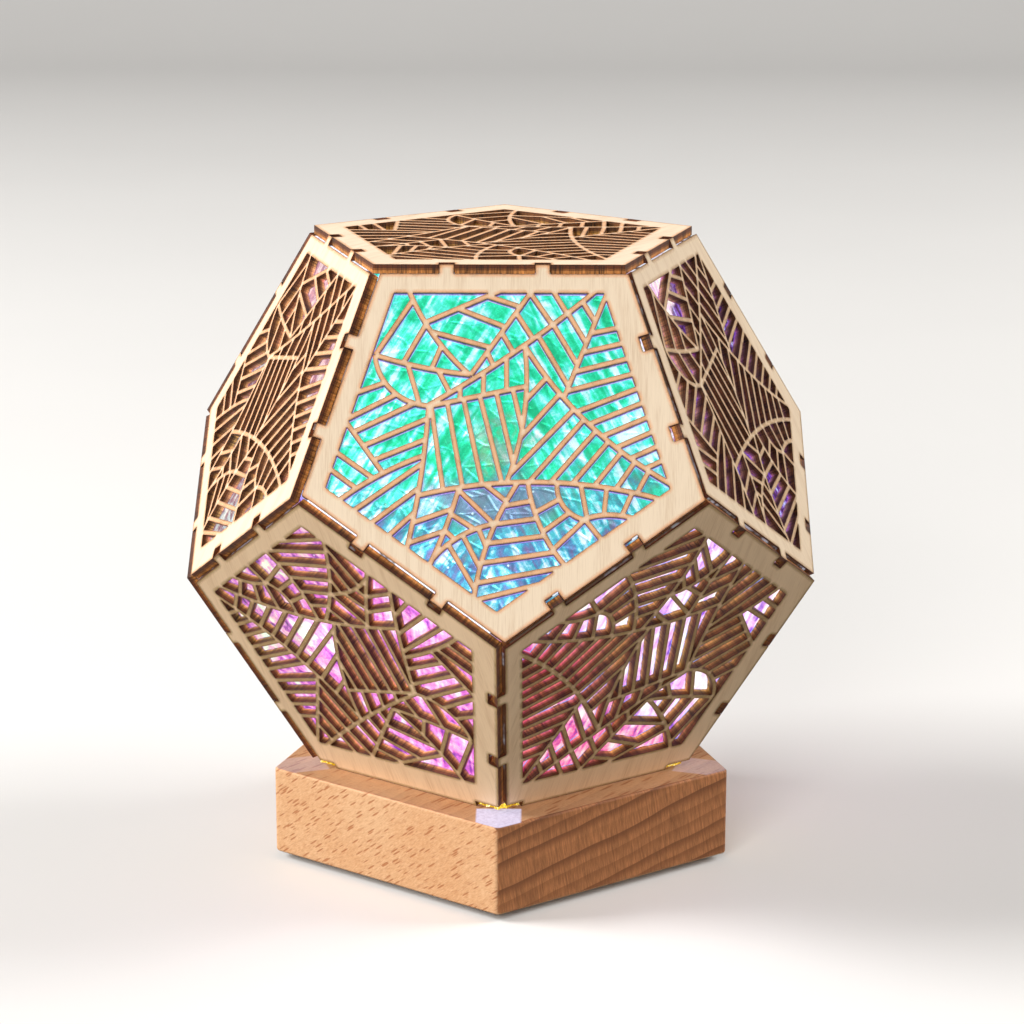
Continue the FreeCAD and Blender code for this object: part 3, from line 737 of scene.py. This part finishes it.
# ---------------------------------------------------------------- finishes of the base
@dataclass(frozen=True)
class Beech:
    """Oiled beech as solid wood: rings across the block, flecks along the grain, darker on end grain, with
    painted light and painted shade on its top.
    """

    pale: Colour = (0.78, 0.475, 0.262)
    warm: Colour = (0.68, 0.34, 0.155)
    fleck: Colour = (0.42, 0.145, 0.05)
    ring: Colour = (0.13, 0.040, 0.014)
    end: Colour = (0.43, 0.172, 0.066)
    grain_azimuth: float = -54.0
    grain_rise: float = 35.0
    band_rise: float = 12.0
    ring_spacing: float = 2.5
    # the colour of the painted light patches on the top
    patch: Colour = (0.72, 0.66, 1.0)

    def build(self, top: float, corner_radius: float) -> bpy.types.Material:
        """The base block's finish.

        Args:
            top: the height of its top in millimetres, where the painted light patches lie at the shade's
                corners.
            corner_radius: the radius of the shade's bottom corners.

        Returns:
            The material.
        """
        g = Graph("beech")
        grain = unit(polar(1, self.grain_azimuth, math.tan(math.radians(self.grain_rise))))
        band = unit(polar(1, self.grain_azimuth + 90, math.tan(math.radians(self.band_rise))))
        band = unit(band - grain * (band @ grain))
        radial = np.cross(grain, band)
        along, beside, through = (g.dot(g.place, tuple(axis)) for axis in (grain, band, radial))

        end_grain = abs(g.dot(g.normal, tuple(grain))).rise(0.5, 0.72)
        flat_top = g.part(g.normal, 2).rise(0.7, 0.95)
        sway = g.noise(g.join(along * 0.02, beside * 0.035, through * 0.05), 1.0, 2.0)
        count = through / self.ring_spacing + sway
        year = count.fraction()
        widths = g.noise(g.join((count - year) * 3.7, 0.0, 0.0), 1.0, 0.0)
        late = year.rise(0.15, 0.96) * year.rise(1.0, 0.96) * widths.rise(0.30, 0.62)

        fibres = g.noise(g.join(along * 0.30, beside * 4.0, through * 4.0), 1.0, 4.0, 0.65)
        clouds = g.noise(g.place, 0.05, 3.0)
        wood = g.ramp(fibres * 0.65 + clouds * 0.35, (0.36, self.warm), (0.60, self.pale))
        lens = g.join(along * 0.25, beside * 0.11, through * 1.55)
        chosen = g.part(g.cells(lens, 1.0, output="Color"), 0)
        flecks = g.cells(lens, 1.0).rise(0.36, 0.24) * chosen.rise(0.15, 0.45)
        faint = g.cells(g.join(along * 0.5, beside * 0.3, through * 3.2), 1.0).rise(0.42, 0.16)
        long_grain = g.mix(flecks * 0.80, g.mix(faint * 0.30, wood, self.fleck), self.fleck)
        long_grain = g.mix(late * 0.10, long_grain, self.fleck)

        rays = g.noise(g.join(along * 0.2, beside * 2.6, through * 0.22), 1.0, 4.0, 0.75)
        ends = g.shade(self.end, rays * 2.3 - 0.18)
        ends = g.mix(late * (0.50 + rays * 0.45), ends, self.ring)
        wood = g.mix(end_grain, long_grain, ends)
        wood = g.shade(wood, 0.9 + fibres * 0.2)

        # Painted light: lilac patches of emission on the top, outside the shade's corners.
        light = self.painted_corner_light(g, corner_radius) * (g.part(g.place, 2) > top - 0.35) * flat_top
        speckle = g.noise(g.place, 1.2, 3.0, 0.7)
        # Painted shade: the top face is 22% darker than the sides; under the painted light patches the base
        # colour turns dark lilac.
        wood = g.mix((light * 0.85).least(0.85), g.shade(wood, 1.0 - flat_top * 0.22), (0.20, 0.18, 0.24))
        painted_spill = g.shade(g.mix(speckle, self.patch, (0.86, 0.84, 1.0)), light * (0.30 + speckle * 0.6))
        height = fibres * 0.5 - flecks * 0.3 + rays * end_grain * 0.4
        return g.finish(Base_Color=wood, Roughness=0.5 + fibres * 0.2, Specular_IOR_Level=0.35,
                        Emission_Color=painted_spill, Emission_Strength=1.0, Normal=g.bump(height, 0.10, 0.5))

    @staticmethod
    def painted_corner_light(g: Graph, corner_radius: float) -> Socket:
        """Where painted light lies on the top, standing for light that leaks out: a wedge at each of the
        shade's corners, brightest in front.

        Args:
            g: the material's graph.
            corner_radius: the radius of the shade's bottom corners.

        Returns:
            How much painted light lies there, from 0 to 1.
        """
        x, y = (g.part(g.place, index) for index in range(2))
        light = 0.0
        for k in range(5):
            outward, sideways = polar(1, FRONT + STEP * k), polar(1, FRONT + STEP * k + 90)
            reach = x * float(outward[0]) + y * float(outward[1])
            aside = abs(x * float(sideways[0]) + y * float(sideways[1]))
            wedge = reach.rise(corner_radius - 3.0, corner_radius - 2.4) * aside.rise(5.1, 4.6)
            light = wedge * (0.22 if k else 1.0) + light
        return light


@dataclass(frozen=True)
class CoverPly:
    """Plain plywood for the bottom cover, with sawn edges."""

    def build(self) -> bpy.types.Material:
        """The cover's finish.

        Returns:
            The material.
        """
        g = Graph("cover_ply")
        x, y, z = (g.part(g.place, index) for index in range(3))
        fibres = g.noise(g.join(x * 0.14, y * 3.6, z), 1.0, 5.0, 0.6)
        figure = g.noise(g.join(x * 0.02, y * 0.3, z), 1.0, 2.0, 0.5, 1.0)
        face = g.ramp(fibres * 0.5 + figure * 0.5, (0.34, (0.58, 0.38, 0.20)), (0.62, (0.80, 0.61, 0.40)))
        upright = abs(g.part(g.normal, 2)).rise(0.7, 0.4)
        edge = g.ramp((z * 1.5).fraction(), (0.4, (0.42, 0.23, 0.10)), (0.6, (0.24, 0.12, 0.05)))
        return g.finish(Base_Color=g.mix(upright, face, edge), Roughness=0.55 + fibres * 0.25,
                        Normal=g.bump(fibres, 0.08, 0.5))


@dataclass(frozen=True)
class Metal:
    """A metal with the marks of how it was made: turned rings round an axis, or drawn lines."""

    name: str
    colour: Colour
    roughness: float
    centre: Colour = (0.0, 0.0, 0.0)
    turned: bool = False
    flat: tuple[int, int] = (0, 1)
    pitch: float = 6.0

    def build(self) -> bpy.types.Material:
        """The metal's finish.

        Returns:
            The material.
        """
        g = Graph(self.name)
        moved = g.vector("SUBTRACT", g.place, self.centre)
        first, second = (g.part(moved, index) for index in self.flat)
        if self.turned:
            radius = (first * first + second * second) ** 0.5
            marks = g.noise(g.join(radius * self.pitch, 0.0, 0.0), 1.0, 2.0, 0.6)
        else:
            marks = g.noise(g.join(first * self.pitch, second * 0.3, 0.0), 1.0, 4.0, 0.6)
        stain = g.noise(g.place, 0.5, 3.0)
        colour = g.shade(self.colour, 0.8 + marks * 0.25 + stain * 0.12)
        return g.finish(Base_Color=colour, Metallic=1.0, Normal=g.bump(marks, 0.03, 0.5),
                        Roughness=self.roughness + marks * 0.18 + stain * 0.08)


@dataclass(frozen=True)
class Moulded:
    """A moulded plastic or rubber with a fine spark-eroded texture and a little dust."""

    name: str
    colour: Colour
    roughness: float
    grain: float = 5.0
    dust: float = 0.15

    def build(self) -> bpy.types.Material:
        """The moulding's finish.

        Returns:
            The material.
        """
        g = Graph(self.name)
        texture = g.noise(g.place, self.grain, 3.0, 0.65)
        film = g.noise(g.place, 0.3, 4.0, 0.6)
        lighter = tuple(min(1.0, c * 1.7 + 0.02) for c in self.colour)
        colour = g.mix(texture * 0.5, self.colour, lighter)
        colour = g.mix(film.rise(0.5, 0.75) * self.dust, colour, (0.5, 0.47, 0.43))
        return g.finish(Base_Color=colour, Roughness=self.roughness + texture * 0.15 + film * 0.1,
                        Normal=g.bump(texture, 0.05, 0.6))


@dataclass(frozen=True)
class CircuitBoard:
    """A circuit board: solder mask over copper tracks, with bare glass-fibre edges."""

    name: str
    mask: Colour
    track: Colour
    edge: Colour = (0.42, 0.38, 0.20)

    def build(self) -> bpy.types.Material:
        """The board's finish.

        Returns:
            The material.
        """
        g = Graph(self.name)
        x, y = (g.part(g.place, index) for index in range(2))
        lanes = g.cells(g.join(x * 0.32, y * 0.16, 0.0), 1.0, "DISTANCE_TO_EDGE", spread=0.6).rise(0.10, 0.07)
        vias = g.cells(g.join(x * 0.5, y * 0.5, 0.0), 1.0).rise(0.16, 0.12)
        weave = (x * 4.0).sine() * (y * 4.0).sine()
        face = g.mix(lanes * 0.7, g.shade(self.mask, 0.96 + weave * 0.04), self.track)
        face = g.mix(vias, face, (0.65, 0.60, 0.50))
        sides = abs(g.part(g.normal, 2)).rise(0.7, 0.4)
        return g.finish(Base_Color=g.mix(sides, face, self.edge), Roughness=0.32 + lanes * 0.1 + sides * 0.3,
                        Coat_Weight=0.3, Normal=g.bump(lanes + vias, 0.05, 0.5))


def chip_offsets(g: Graph) -> list[tuple[Socket, Socket]]:
    """How far a point is from the nearest light chip of each ring.

    Args:
        g: the material's graph.

    Returns:
        For each ring, the distances outwards and sideways from the chip's middle.
    """
    x, y = (g.part(g.place, index) for index in range(2))
    radius = (x * x + y * y) ** 0.5
    angle = g.node("ShaderNodeMath", {"operation": "ARCTAN2"}, {0: y, 1: x})
    offsets = []
    for count, middle in CHIP_RINGS:
        turn = (angle * (count / math.tau) + 10.0).fraction() - 0.5
        offsets.append((radius - middle, turn * (math.tau * middle / count)))
    return offsets


@dataclass(frozen=True)
class LightChip:
    """Light chips: a yellow phosphor window, lit, in a white frame."""

    frame_colour: Colour = (0.85, 0.84, 0.80)
    deep: Colour = (1.0, 0.70, 0.12)
    bright: Colour = (1.0, 0.86, 0.35)

    def build(self) -> bpy.types.Material:
        """The chips' finish.

        Returns:
            The material.
        """
        g = Graph("light_chips")
        first, second = (abs(out).rise(1.35, 1.15) * abs(aside).rise(1.05, 0.85)
                         for out, aside in chip_offsets(g))
        window = first.largest(second) * g.part(g.normal, 2).rise(0.5, 0.8)
        grit = g.noise(g.place, 6.0, 2.0)
        phosphor = g.mix(grit, self.deep, self.bright)
        shine = g.shade(g.mix(0.6, phosphor, (1.0, 1.0, 1.0)), window * (0.7 + grit * 0.4))
        return g.finish(Base_Color=g.mix(window, self.frame_colour, phosphor), Roughness=0.3 + grit * 0.15,
                        Emission_Color=shine, Emission_Strength=2.5)


@dataclass(frozen=True)
class Opal:
    """The opal diffuser: frosted, and brighter over each light chip."""

    body: Colour = (0.72, 0.72, 0.71)
    cool: Colour = (0.78, 0.80, 0.82)
    warm: Colour = (1.0, 0.98, 0.93)
    spread: float = 6.5

    def build(self) -> bpy.types.Material:
        """The diffuser's finish, with a soft round glow over each chip.

        Returns:
            The material.
        """
        g = Graph("opal_diffuser")
        first, second = (((out * out + aside * aside) ** 0.5).rise(self.spread, 0.0)
                         for out, aside in chip_offsets(g))
        glow = first.largest(second)
        frost = g.noise(g.place, 7.0, 3.0, 0.6)
        cast = g.mix(glow, self.cool, self.warm)
        return g.finish(Base_Color=g.shade(self.body, 0.92 + frost * 0.12), Roughness=0.42 + frost * 0.2,
                        Subsurface_Weight=0.3, Subsurface_Scale=2 * MM, Normal=g.bump(frost, 0.03, 0.4),
                        Emission_Color=g.shade(cast, glow * 0.55), Emission_Strength=1.0)


# ---------------------------------------------------------------- the shade
@dataclass(frozen=True)
class FaceLook:
    """What one face of the shade looks like: its film, the film's light painted on its cut walls, and its
    scorched ribs with painted shade on its veneer.
    """

    film: Film
    bleed: Bleed
    scorch_and_shade: ScorchAndShade


GREEN_BLUE = FaceLook(
    Film(first=((0.02, 0.50, 0.24), (0.03, 0.70, 0.38), (0.10, 0.82, 0.70), (0.66, 0.97, 1.0)),
         second=((0.17, 0.15, 0.32), (0.08, 0.22, 0.42), (0.08, 0.44, 0.56), (0.55, 0.76, 0.95)),
         glow=0.80, turn_at=(2.0, 26.0), streaks=0.52, lift=0.0, edge_lift=0.03, gloom=(0.20, 0.24, 0.12)),
    Bleed(wall=(0.20, 0.12, 0.75), rim=(0.45, 0.40, 1.0), strength=1.2, start=0.1, patches=(0.2, 0.5),
          line=0.9),
    ScorchAndShade.LIGHT)
PINK_VIOLET = FaceLook(
    Film(first=((0.30, 0.06, 0.50), (0.82, 0.22, 0.76), (1.0, 0.46, 0.88), (1.0, 0.90, 1.0)),
         second=((0.16, 0.08, 0.20), (0.62, 0.22, 0.66), (0.86, 0.50, 0.66), (0.80, 1.0, 0.80)),
         glow=0.9, slant=75.0, sweep=60.0, turn_at=(4.0, 24.0), lift=0.02),
    Bleed(wall=(0.10, 0.01, 0.12), rim=(0.30, 0.16, 0.95), strength=0.8, start=1.3),
    ScorchAndShade.HEAVY)
WHITE_MAGENTA = FaceLook(
    Film(first=((0.30, 0.12, 0.75), (0.85, 0.48, 0.95), (0.98, 0.78, 1.0), (1.0, 1.0, 0.96)),
         second=((0.30, 0.05, 0.30), (0.78, 0.14, 0.42), (1.0, 0.42, 0.55), (1.0, 0.75, 0.80)),
         glow=0.95, slant=85.0, counter_slant=80.0, sweep=140.0, turn_at=(2.0, 20.0), streaks=0.5, lift=0.02),
    Bleed(wall=(0.62, 0.02, 0.20), rim=(0.16, 0.42, 1.0), strength=0.9, start=0.5, patches=(0.42, 0.56),
          line=1.0, sweep=105.0, gate=(4.0, 16.0)),
    ScorchAndShade.HEAVY)
INDIGO = FaceLook(
    Film(first=((0.80, 0.55, 0.80), (1.0, 0.80, 0.94), (1.0, 0.98, 0.86), (1.0, 1.0, 1.0)),
         second=((0.03, 0.012, 0.03), (0.10, 0.03, 0.14), (0.22, 0.09, 0.55), (0.60, 0.70, 1.0)),
         glow=0.85, slant=85.0, counter_slant=-80.0, sweep=50.0, turn_at=(-20.0, -12.0), streaks=0.5),
    Bleed(wall=(0.14, 0.03, 0.32), rim=(0.26, 0.10, 0.80), strength=0.7, start=0.6, patches=(0.48, 0.62)),
    ScorchAndShade.MEDIUM)
MAUVE_BROWN = FaceLook(
    Film(first=((0.34, 0.16, 0.24), (0.62, 0.38, 0.48), (0.86, 0.68, 0.76), (1.0, 0.96, 0.82)),
         second=((0.24, 0.12, 0.18), (0.42, 0.28, 0.34), (0.60, 0.72, 0.74), (0.86, 0.96, 0.94)),
         glow=0.75, slant=85.0, counter_slant=-80.0, turn_at=(-14.0, 8.0), streaks=0.25, lift=0.01),
    Bleed(wall=(0.24, 0.06, 0.18), rim=(0.45, 0.20, 0.45), strength=0.6, start=0.4),
    ScorchAndShade.LIGHT)
UMBER = FaceLook(
    Film(first=((0.08, 0.04, 0.03), (0.24, 0.13, 0.06), (0.40, 0.34, 0.12), (0.85, 0.80, 0.90)),
         second=((0.07, 0.03, 0.03), (0.20, 0.10, 0.09), (0.42, 0.38, 0.10), (0.75, 0.70, 0.95)),
         glow=0.35, slant=20.0, counter_slant=10.0),
    Bleed(wall=(0.16, 0.07, 0.03), rim=(0.30, 0.16, 0.10), strength=0.4),
    ScorchAndShade.LIGHT)
LOOK_OF = {
    "top": UMBER, "upper_1": GREEN_BLUE, "upper_2": INDIGO, "upper_3": MAUVE_BROWN, "upper_4": GREEN_BLUE,
    "upper_5": MAUVE_BROWN, "lower_1": WHITE_MAGENTA, "lower_2": PINK_VIOLET, "lower_3": WHITE_MAGENTA,
    "lower_4": INDIGO, "lower_5": PINK_VIOLET,
}


@dataclass
class FilmLining:
    """The sheets of film behind the panels, one to a face, each slightly crinkled."""

    shape: Dodecahedron
    radius: float = 42.2
    depth: float = 2.22
    crinkle: float = 0.07
    thickness: float = 0.04
    rings: int = 44
    spokes: int = 160

    def sheet_points(self, seed: int) -> np.ndarray:
        """A crinkled pentagon in a face's own frame.

        A ring's radius in each direction is its share of the pentagon's reach there, which is the cosine of
        36 degrees over the cosine of the angle from the nearest side's normal. The height is the mean of
        folded waves, one minus twice the size of a sine, in eight directions.

        Args:
            seed: which set of waves the sheet gets.

        Returns:
            The centre and then the rings, one row a vertex.
        """
        share = np.linspace(0, 1, self.rings + 1)[1:, None]
        angle = np.linspace(0, math.tau, self.spokes, endpoint=False)[None, :]
        from_side = np.mod(angle - math.radians(54), math.radians(72)) - math.radians(36)
        radius = share * self.radius * math.cos(math.radians(36)) / np.cos(from_side)
        x = np.append(0.0, (radius * np.cos(angle)).ravel())
        y = np.append(0.0, (radius * np.sin(angle)).ravel())
        waves = np.random.default_rng(seed)
        height = np.zeros_like(x)
        for heading, length, phase in zip(waves.uniform(0, math.pi, 8), waves.uniform(6, 16, 8),
                                          waves.uniform(0, math.tau, 8)):
            run = x * math.cos(heading) + y * math.sin(heading)
            height += 1 - 2 * np.abs(np.sin(math.pi * run / length + phase))
        return np.stack([x, y, height / 8 * 2 * self.crinkle - self.depth], axis=1)

    def build(self) -> None:
        """Makes each face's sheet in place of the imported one."""
        fan = [[0, 1 + k, 1 + (k + 1) % self.spokes] for k in range(self.spokes)]
        bands = (np.array(grid_faces(self.rings, self.spokes, wrapped=True)) + 1).tolist()
        for seed, face in enumerate(self.shape.faces()):
            points = face.placed(self.sheet_points(seed + 3))
            finish = LOOK_OF[face.name].film.build(face)
            sheet = make_object(f"film_sheet_{face.name}", points, fan + bands, finish)
            thicken(sheet, self.thickness)
            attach(sheet, "shade")
            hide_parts(self.shape.node(face, "film"))
            LOG.info("made %s", sheet.name)


@dataclass
class CornerFolds:
    """The film bunched in the gap at each bottom corner of the shade."""

    shape: Dodecahedron
    base_top: float
    reach: float = 5.6
    inset: float = 1.05
    low: float = 0.12
    high: float = 1.35
    columns: int = 120
    rows: int = 14

    def fold_points(self, corner: int) -> np.ndarray:
        """A crumpled strip round one bottom corner.

        Its path runs in along one side, round the corner and out along the other. It is pushed in and out by
        folded waves along its length whose phase drifts with height, and its rims rise and fall.

        Args:
            corner: which of the five corners, from the front one round.

        Returns:
            The strip's vertices, row by row.
        """
        azimuth = FRONT + STEP * corner
        tip = polar(self.shape.face_radius - self.inset / math.cos(math.radians(54)), azimuth)
        left = unit(polar(1, azimuth - STEP) - polar(1, azimuth))
        right = unit(polar(1, azimuth + STEP) - polar(1, azimuth))
        run = np.linspace(-self.reach, self.reach, self.columns)[None, :]
        rise = np.linspace(0, 1, self.rows)[:, None]
        side = np.where(run[..., None] < 0, left, right)
        path = tip + side * np.abs(run)[..., None]
        outward = unit(polar(1, azimuth))
        waves = np.random.default_rng(40 + corner)
        push = np.zeros((self.rows, self.columns))
        for length, drift, phase in zip(waves.uniform(0.9, 3.4, 5), waves.uniform(-1.5, 1.5, 5),
                                        waves.uniform(0, math.tau, 5)):
            push += 1 - 2 * np.abs(np.sin(math.pi * run / length + drift * rise + phase))
        lift = self.low + (self.high - self.low) * rise
        lift = lift - 0.18 * rise * np.abs(np.sin(run * 2.1 + corner))
        height = self.base_top + lift + 0 * run
        points = path + outward * (push * 0.11)[..., None]
        return np.concatenate([points[..., :2], height[..., None]], axis=-1).reshape(-1, 3)

    def build(self) -> None:
        """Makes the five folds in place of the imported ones."""
        finish = GoldenFold().build()
        for corner in range(5):
            points = self.fold_points(corner)
            fold = make_object(f"film_fold_{corner + 1}", points, grid_faces(self.rows, self.columns), finish)
            thicken(fold, 0.05)
            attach(fold, "shade")
            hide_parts("film_corner_folds")
            LOG.info("made %s", fold.name)


@dataclass
class JointSlips:
    """Slips of film that show as thin bright lines in the joints between panels.

    The faces' edges are numbered clockwise from the first, and each has its own brightness.
    """

    shape: Dodecahedron
    recess: float = PLY
    tabs: tuple[float, ...] = (15.3, 35.3)
    rims: tuple[tuple[float, float], ...] = ((0.21, 0.80), (0.02, 0.36))
    stations: int = 12
    tab_width: float = 3.3
    end_gap: float = 3.0
    notch_depth: float = 2.3
    notch_width: float = 3.3
    faint: float = 0.12
    bright: dict[str, float] = field(default_factory=lambda: {
        "upper_1/0": 0.2, "upper_1/2": 0.9, "upper_1/3": 1.0, "upper_1/4": 0.15, "upper_5/0": 0.8,
        "upper_2/0": 0.6, "upper_5/2": 0.6, "upper_1/1": 0.5, "upper_2/3": 0.3})

    def build(self) -> None:
        """One mesh of strips just below the outer face: between the tabs, and across the ends of notches."""
        points, faces, lights = [], [], []
        for face in self.shape.faces()[1:]:
            tabbed = (0, 3, 4) if face.name.startswith("upper") else (1, 2)
            notched = (1, 2) if face.name.startswith("upper") else (3, 4)
            for edge in tabbed + notched:
                start = polar(self.shape.face_radius, 126 - STEP * edge)
                end = polar(self.shape.face_radius, 126 - STEP * (edge + 1))
                along, inward = unit(end - start), polar(-1, 90 - STEP * edge)
                recess = self.recess if edge in tabbed else self.notch_depth
                for low, high in self.spans(edge in tabbed):
                    run = start + along * np.linspace(low, high, self.stations)[:, None]
                    near, far = (run + inward * (recess - back) + polar(0, 0, -deep)
                                 for back, deep in self.rims)
                    first = sum(len(rows) for rows in points)
                    points.append(face.placed(np.concatenate([near, far])))
                    faces += (np.array(grid_faces(2, self.stations)) + first).tolist()
                    lights += [self.bright.get(f"{face.name}/{edge}", self.faint)] * 2 * self.stations
        slips = make_object("film_slips", np.concatenate(points), faces, JointSlip().build(), smooth=False)
        level = slips.data.attributes.new("joint_light", "FLOAT", "POINT")
        level.data.foreach_set("value", lights)
        thicken(slips, 0.04)
        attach(slips, "shade")
        LOG.info("made %s", slips.name)

    def spans(self, tabbed: bool) -> list[tuple[float, float]]:
        """Where the strips start and stop along an edge.

        Args:
            tabbed: whether the edge has tabs, which the strips lie between, or notches, which they lie in.

        Returns:
            The start and the end of each strip, from the edge's first corner.
        """
        if not tabbed:
            half = self.notch_width / 2 - 0.05
            return [(place - half, place + half) for place in self.tabs]
        stops = [self.end_gap]
        for place in self.tabs:
            stops += [place - self.tab_width / 2, place + self.tab_width / 2]
        stops.append(self.shape.edge - self.end_gap)
        return list(zip(stops[::2], stops[1::2]))


@dataclass
class Shade:
    """The openwork shade: eleven plywood panels and the film that lines them."""

    shape: Dodecahedron
    base_top: float

    def build(self) -> None:
        """Dresses the panels and makes the film."""
        wood = Plywood()
        for face in self.shape.faces():
            look = LOOK_OF[face.name]
            dress(wood.build(face, look.bleed, look.scorch_and_shade), self.shape.node(face, "panel"))
        FilmLining(self.shape).build()
        CornerFolds(self.shape, self.base_top).build()
        JointSlips(self.shape).build()


# ---------------------------------------------------------------- the base
@dataclass
class Base:
    """The beech block with its cover, feet and screws."""

    shape: Dodecahedron
    top: float

    def build(self) -> None:
        """Dresses the wooden parts, the feet and the screws."""
        dress(Beech().build(self.top, self.shape.face_radius), "base_block")
        dress(CoverPly().build(), "bottom_cover")
        dress(Moulded("rubber", (0.035, 0.035, 0.037), 0.7, 3.0, 0.3).build(), "feet")
        steel = Metal("screw_steel", (0.62, 0.62, 0.63), 0.28, pitch=3.0).build()
        dress(steel, "cover_screws", "light_board_screws", "control_board_screws")


@dataclass
class Lighting:
    """The lit parts in the well: board, chips, opal disc and the ring that holds it."""

    def build(self) -> None:
        """Dresses the parts in the well."""
        dress(CircuitBoard("white_board", (0.84, 0.85, 0.83), (0.74, 0.75, 0.72)).build(), "light_board")
        dress(LightChip().build(), "light_chips")
        dress(Opal().build(), "diffuser_disc")
        dress(Metal("ring_metal", (0.82, 0.82, 0.83), 0.25, turned=True, pitch=9.0).build(), "diffuser_ring")


@dataclass
class Power:
    """The inlet, the button and the control board behind the rear wall."""

    def build(self) -> None:
        """Dresses the electrical parts."""
        low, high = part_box("power_button")
        middle = (low + high) / 2 / MM
        button = Metal("button_metal", (0.72, 0.72, 0.74), 0.22, centre=tuple(middle), turned=True,
                       flat=(0, 2), pitch=7.0)
        dress(button.build(), "power_button")
        dress(Metal("inlet_metal", (0.66, 0.66, 0.67), 0.25, flat=(0, 2), pitch=8.0).build(), "inlet_shell")
        black = Moulded("black_plastic", (0.025, 0.025, 0.027), 0.45).build()
        dress(black, "inlet_tongue", "inlet_bezel", "driver_chip", "switch_body")
        dress(CircuitBoard("green_board", (0.02, 0.16, 0.06), (0.05, 0.30, 0.13)).build(), "control_board")
        dress(Moulded("red_sleeve", (0.55, 0.02, 0.02), 0.3, 2.0, 0.05).build(), "red_wire")
        dress(Moulded("black_sleeve", (0.02, 0.02, 0.02), 0.3, 2.0, 0.05).build(), "black_wire")


# ---------------------------------------------------------------- the studio
@dataclass
class Studio:
    """The pale floor, the soft lights and the camera."""

    target: np.ndarray
    azimuth: float = 0.878
    elevation: float = 14.581
    distance: float = 652.8
    lens: float = 101.88
    shift: tuple[float, float] = (0.0099, -0.0188)
    floor_size: float = 6.0

    def camera(self) -> None:
        """A long lens, a little above the lamp's middle and a little to its right."""
        a, e = math.radians(self.azimuth), math.radians(self.elevation)
        back = Vector((math.sin(a) * math.cos(e), -math.cos(a) * math.cos(e), math.sin(e)))
        data = bpy.data.cameras.new("camera")
        data.lens, data.sensor_width = self.lens, 36.0
        data.shift_x, data.shift_y = self.shift
        data.clip_start, data.clip_end = 0.01, 50.0
        view = bpy.data.objects.new("camera", data)
        view.location = Vector(self.target * MM) + back * self.distance * MM
        view.rotation_mode = "QUATERNION"
        view.rotation_quaternion = back.to_track_quat("Z", "Y")
        bpy.context.scene.collection.objects.link(view)
        bpy.context.scene.camera = view

    def softbox(self, name: str, azimuth: float, elevation: float, away: float, size: float, level: float,
                colour: Colour = (1.0, 1.0, 1.0)) -> None:
        """A square area light that faces the lamp.

        Args:
            name: the light's name.
            azimuth: where it stands, in degrees.
            elevation: its height above the horizon, in degrees.
            away: its distance in metres.
            size: its side in metres.
            level: the brightness of a white surface that faces it.
            colour: its colour.
        """
        data = bpy.data.lights.new(name, "AREA")
        data.energy = math.pi ** 2 * level * away ** 2
        data.size, data.color = size, colour
        light = bpy.data.objects.new(name, data)
        rise = math.sin(math.radians(elevation))
        direction = Vector(polar(math.cos(math.radians(elevation)), azimuth, rise))
        light.location = Vector(self.target * MM) + direction * away
        light.rotation_mode = "QUATERNION"
        light.rotation_quaternion = direction.to_track_quat("Z", "Y")
        bpy.context.scene.collection.objects.link(light)

    def floor(self) -> None:
        """A pale floor that curves up into a backdrop.

        Its section runs level, turns up through a quarter circle and rises, and the sheet is that section
        drawn out sideways.
        """
        bend, back, clear = 0.8, 1.6, 0.02 * MM
        turn = np.linspace(0, math.pi / 2, 24)
        y = np.concatenate([[-self.floor_size], back + bend * np.sin(turn), [back + bend]])
        z = np.concatenate([[0.0], bend * (1 - np.cos(turn)), [self.floor_size / 2]]) - clear
        x = np.array([-self.floor_size, self.floor_size])
        section = np.stack([np.broadcast_to(y, (2, y.size)), np.broadcast_to(z, (2, z.size))], axis=-1)
        points = np.concatenate([np.broadcast_to(x[:, None, None], (2, y.size, 1)), section], axis=-1)
        g = Graph("studio_paper")
        paper = g.noise(g.place, 0.004, 3.0)
        finish = g.finish(Base_Color=g.shade((0.80, 0.79, 0.78), 0.97 + paper * 0.05),
                          Roughness=0.55 + paper * 0.1)
        sheet = make_object("studio_floor", points.reshape(-1, 3) / MM, grid_faces(2, y.size), finish)
        sheet.visible_diffuse = False

    def build(self) -> None:
        """Sets up the floor, the lights, the surroundings and the camera."""
        self.floor()
        self.softbox("side", 178.0, 32.0, 2.0, 0.9, 1.25, (1.0, 0.99, 0.97))
        self.softbox("key", -108.0, 20.0, 2.0, 0.9, 0.70, (1.0, 0.975, 0.94))
        self.softbox("fill", 14.0, 32.0, 2.0, 1.0, 0.82, (1.0, 0.99, 0.97))
        world = bpy.data.worlds.new("studio")
        world.use_nodes = True
        sky = world.node_tree.nodes["Background"]
        sky.inputs["Color"].default_value = (1.0, 0.95, 0.88, 1.0)
        sky.inputs["Strength"].default_value = 0.10
        bpy.context.scene.world = world
        bpy.context.scene.view_settings.view_transform = "Standard"
        self.camera()


def main() -> None:
    """Builds the lamp's pieces in order and then the studio."""
    logging.basicConfig(level=logging.INFO, format="%(name)s: %(message)s")
    shape = Dodecahedron.from_frame()
    base_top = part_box("base_block")[1].z / MM
    for part in (Shade(shape, base_top), Base(shape, base_top), Lighting(), Power()):
        part.build()
        LOG.info("finished the %s", type(part).__name__.lower())
    Studio(np.array([0.0, 0.0, shape.centre_height])).build()


if __name__ == "__main__":
    main()
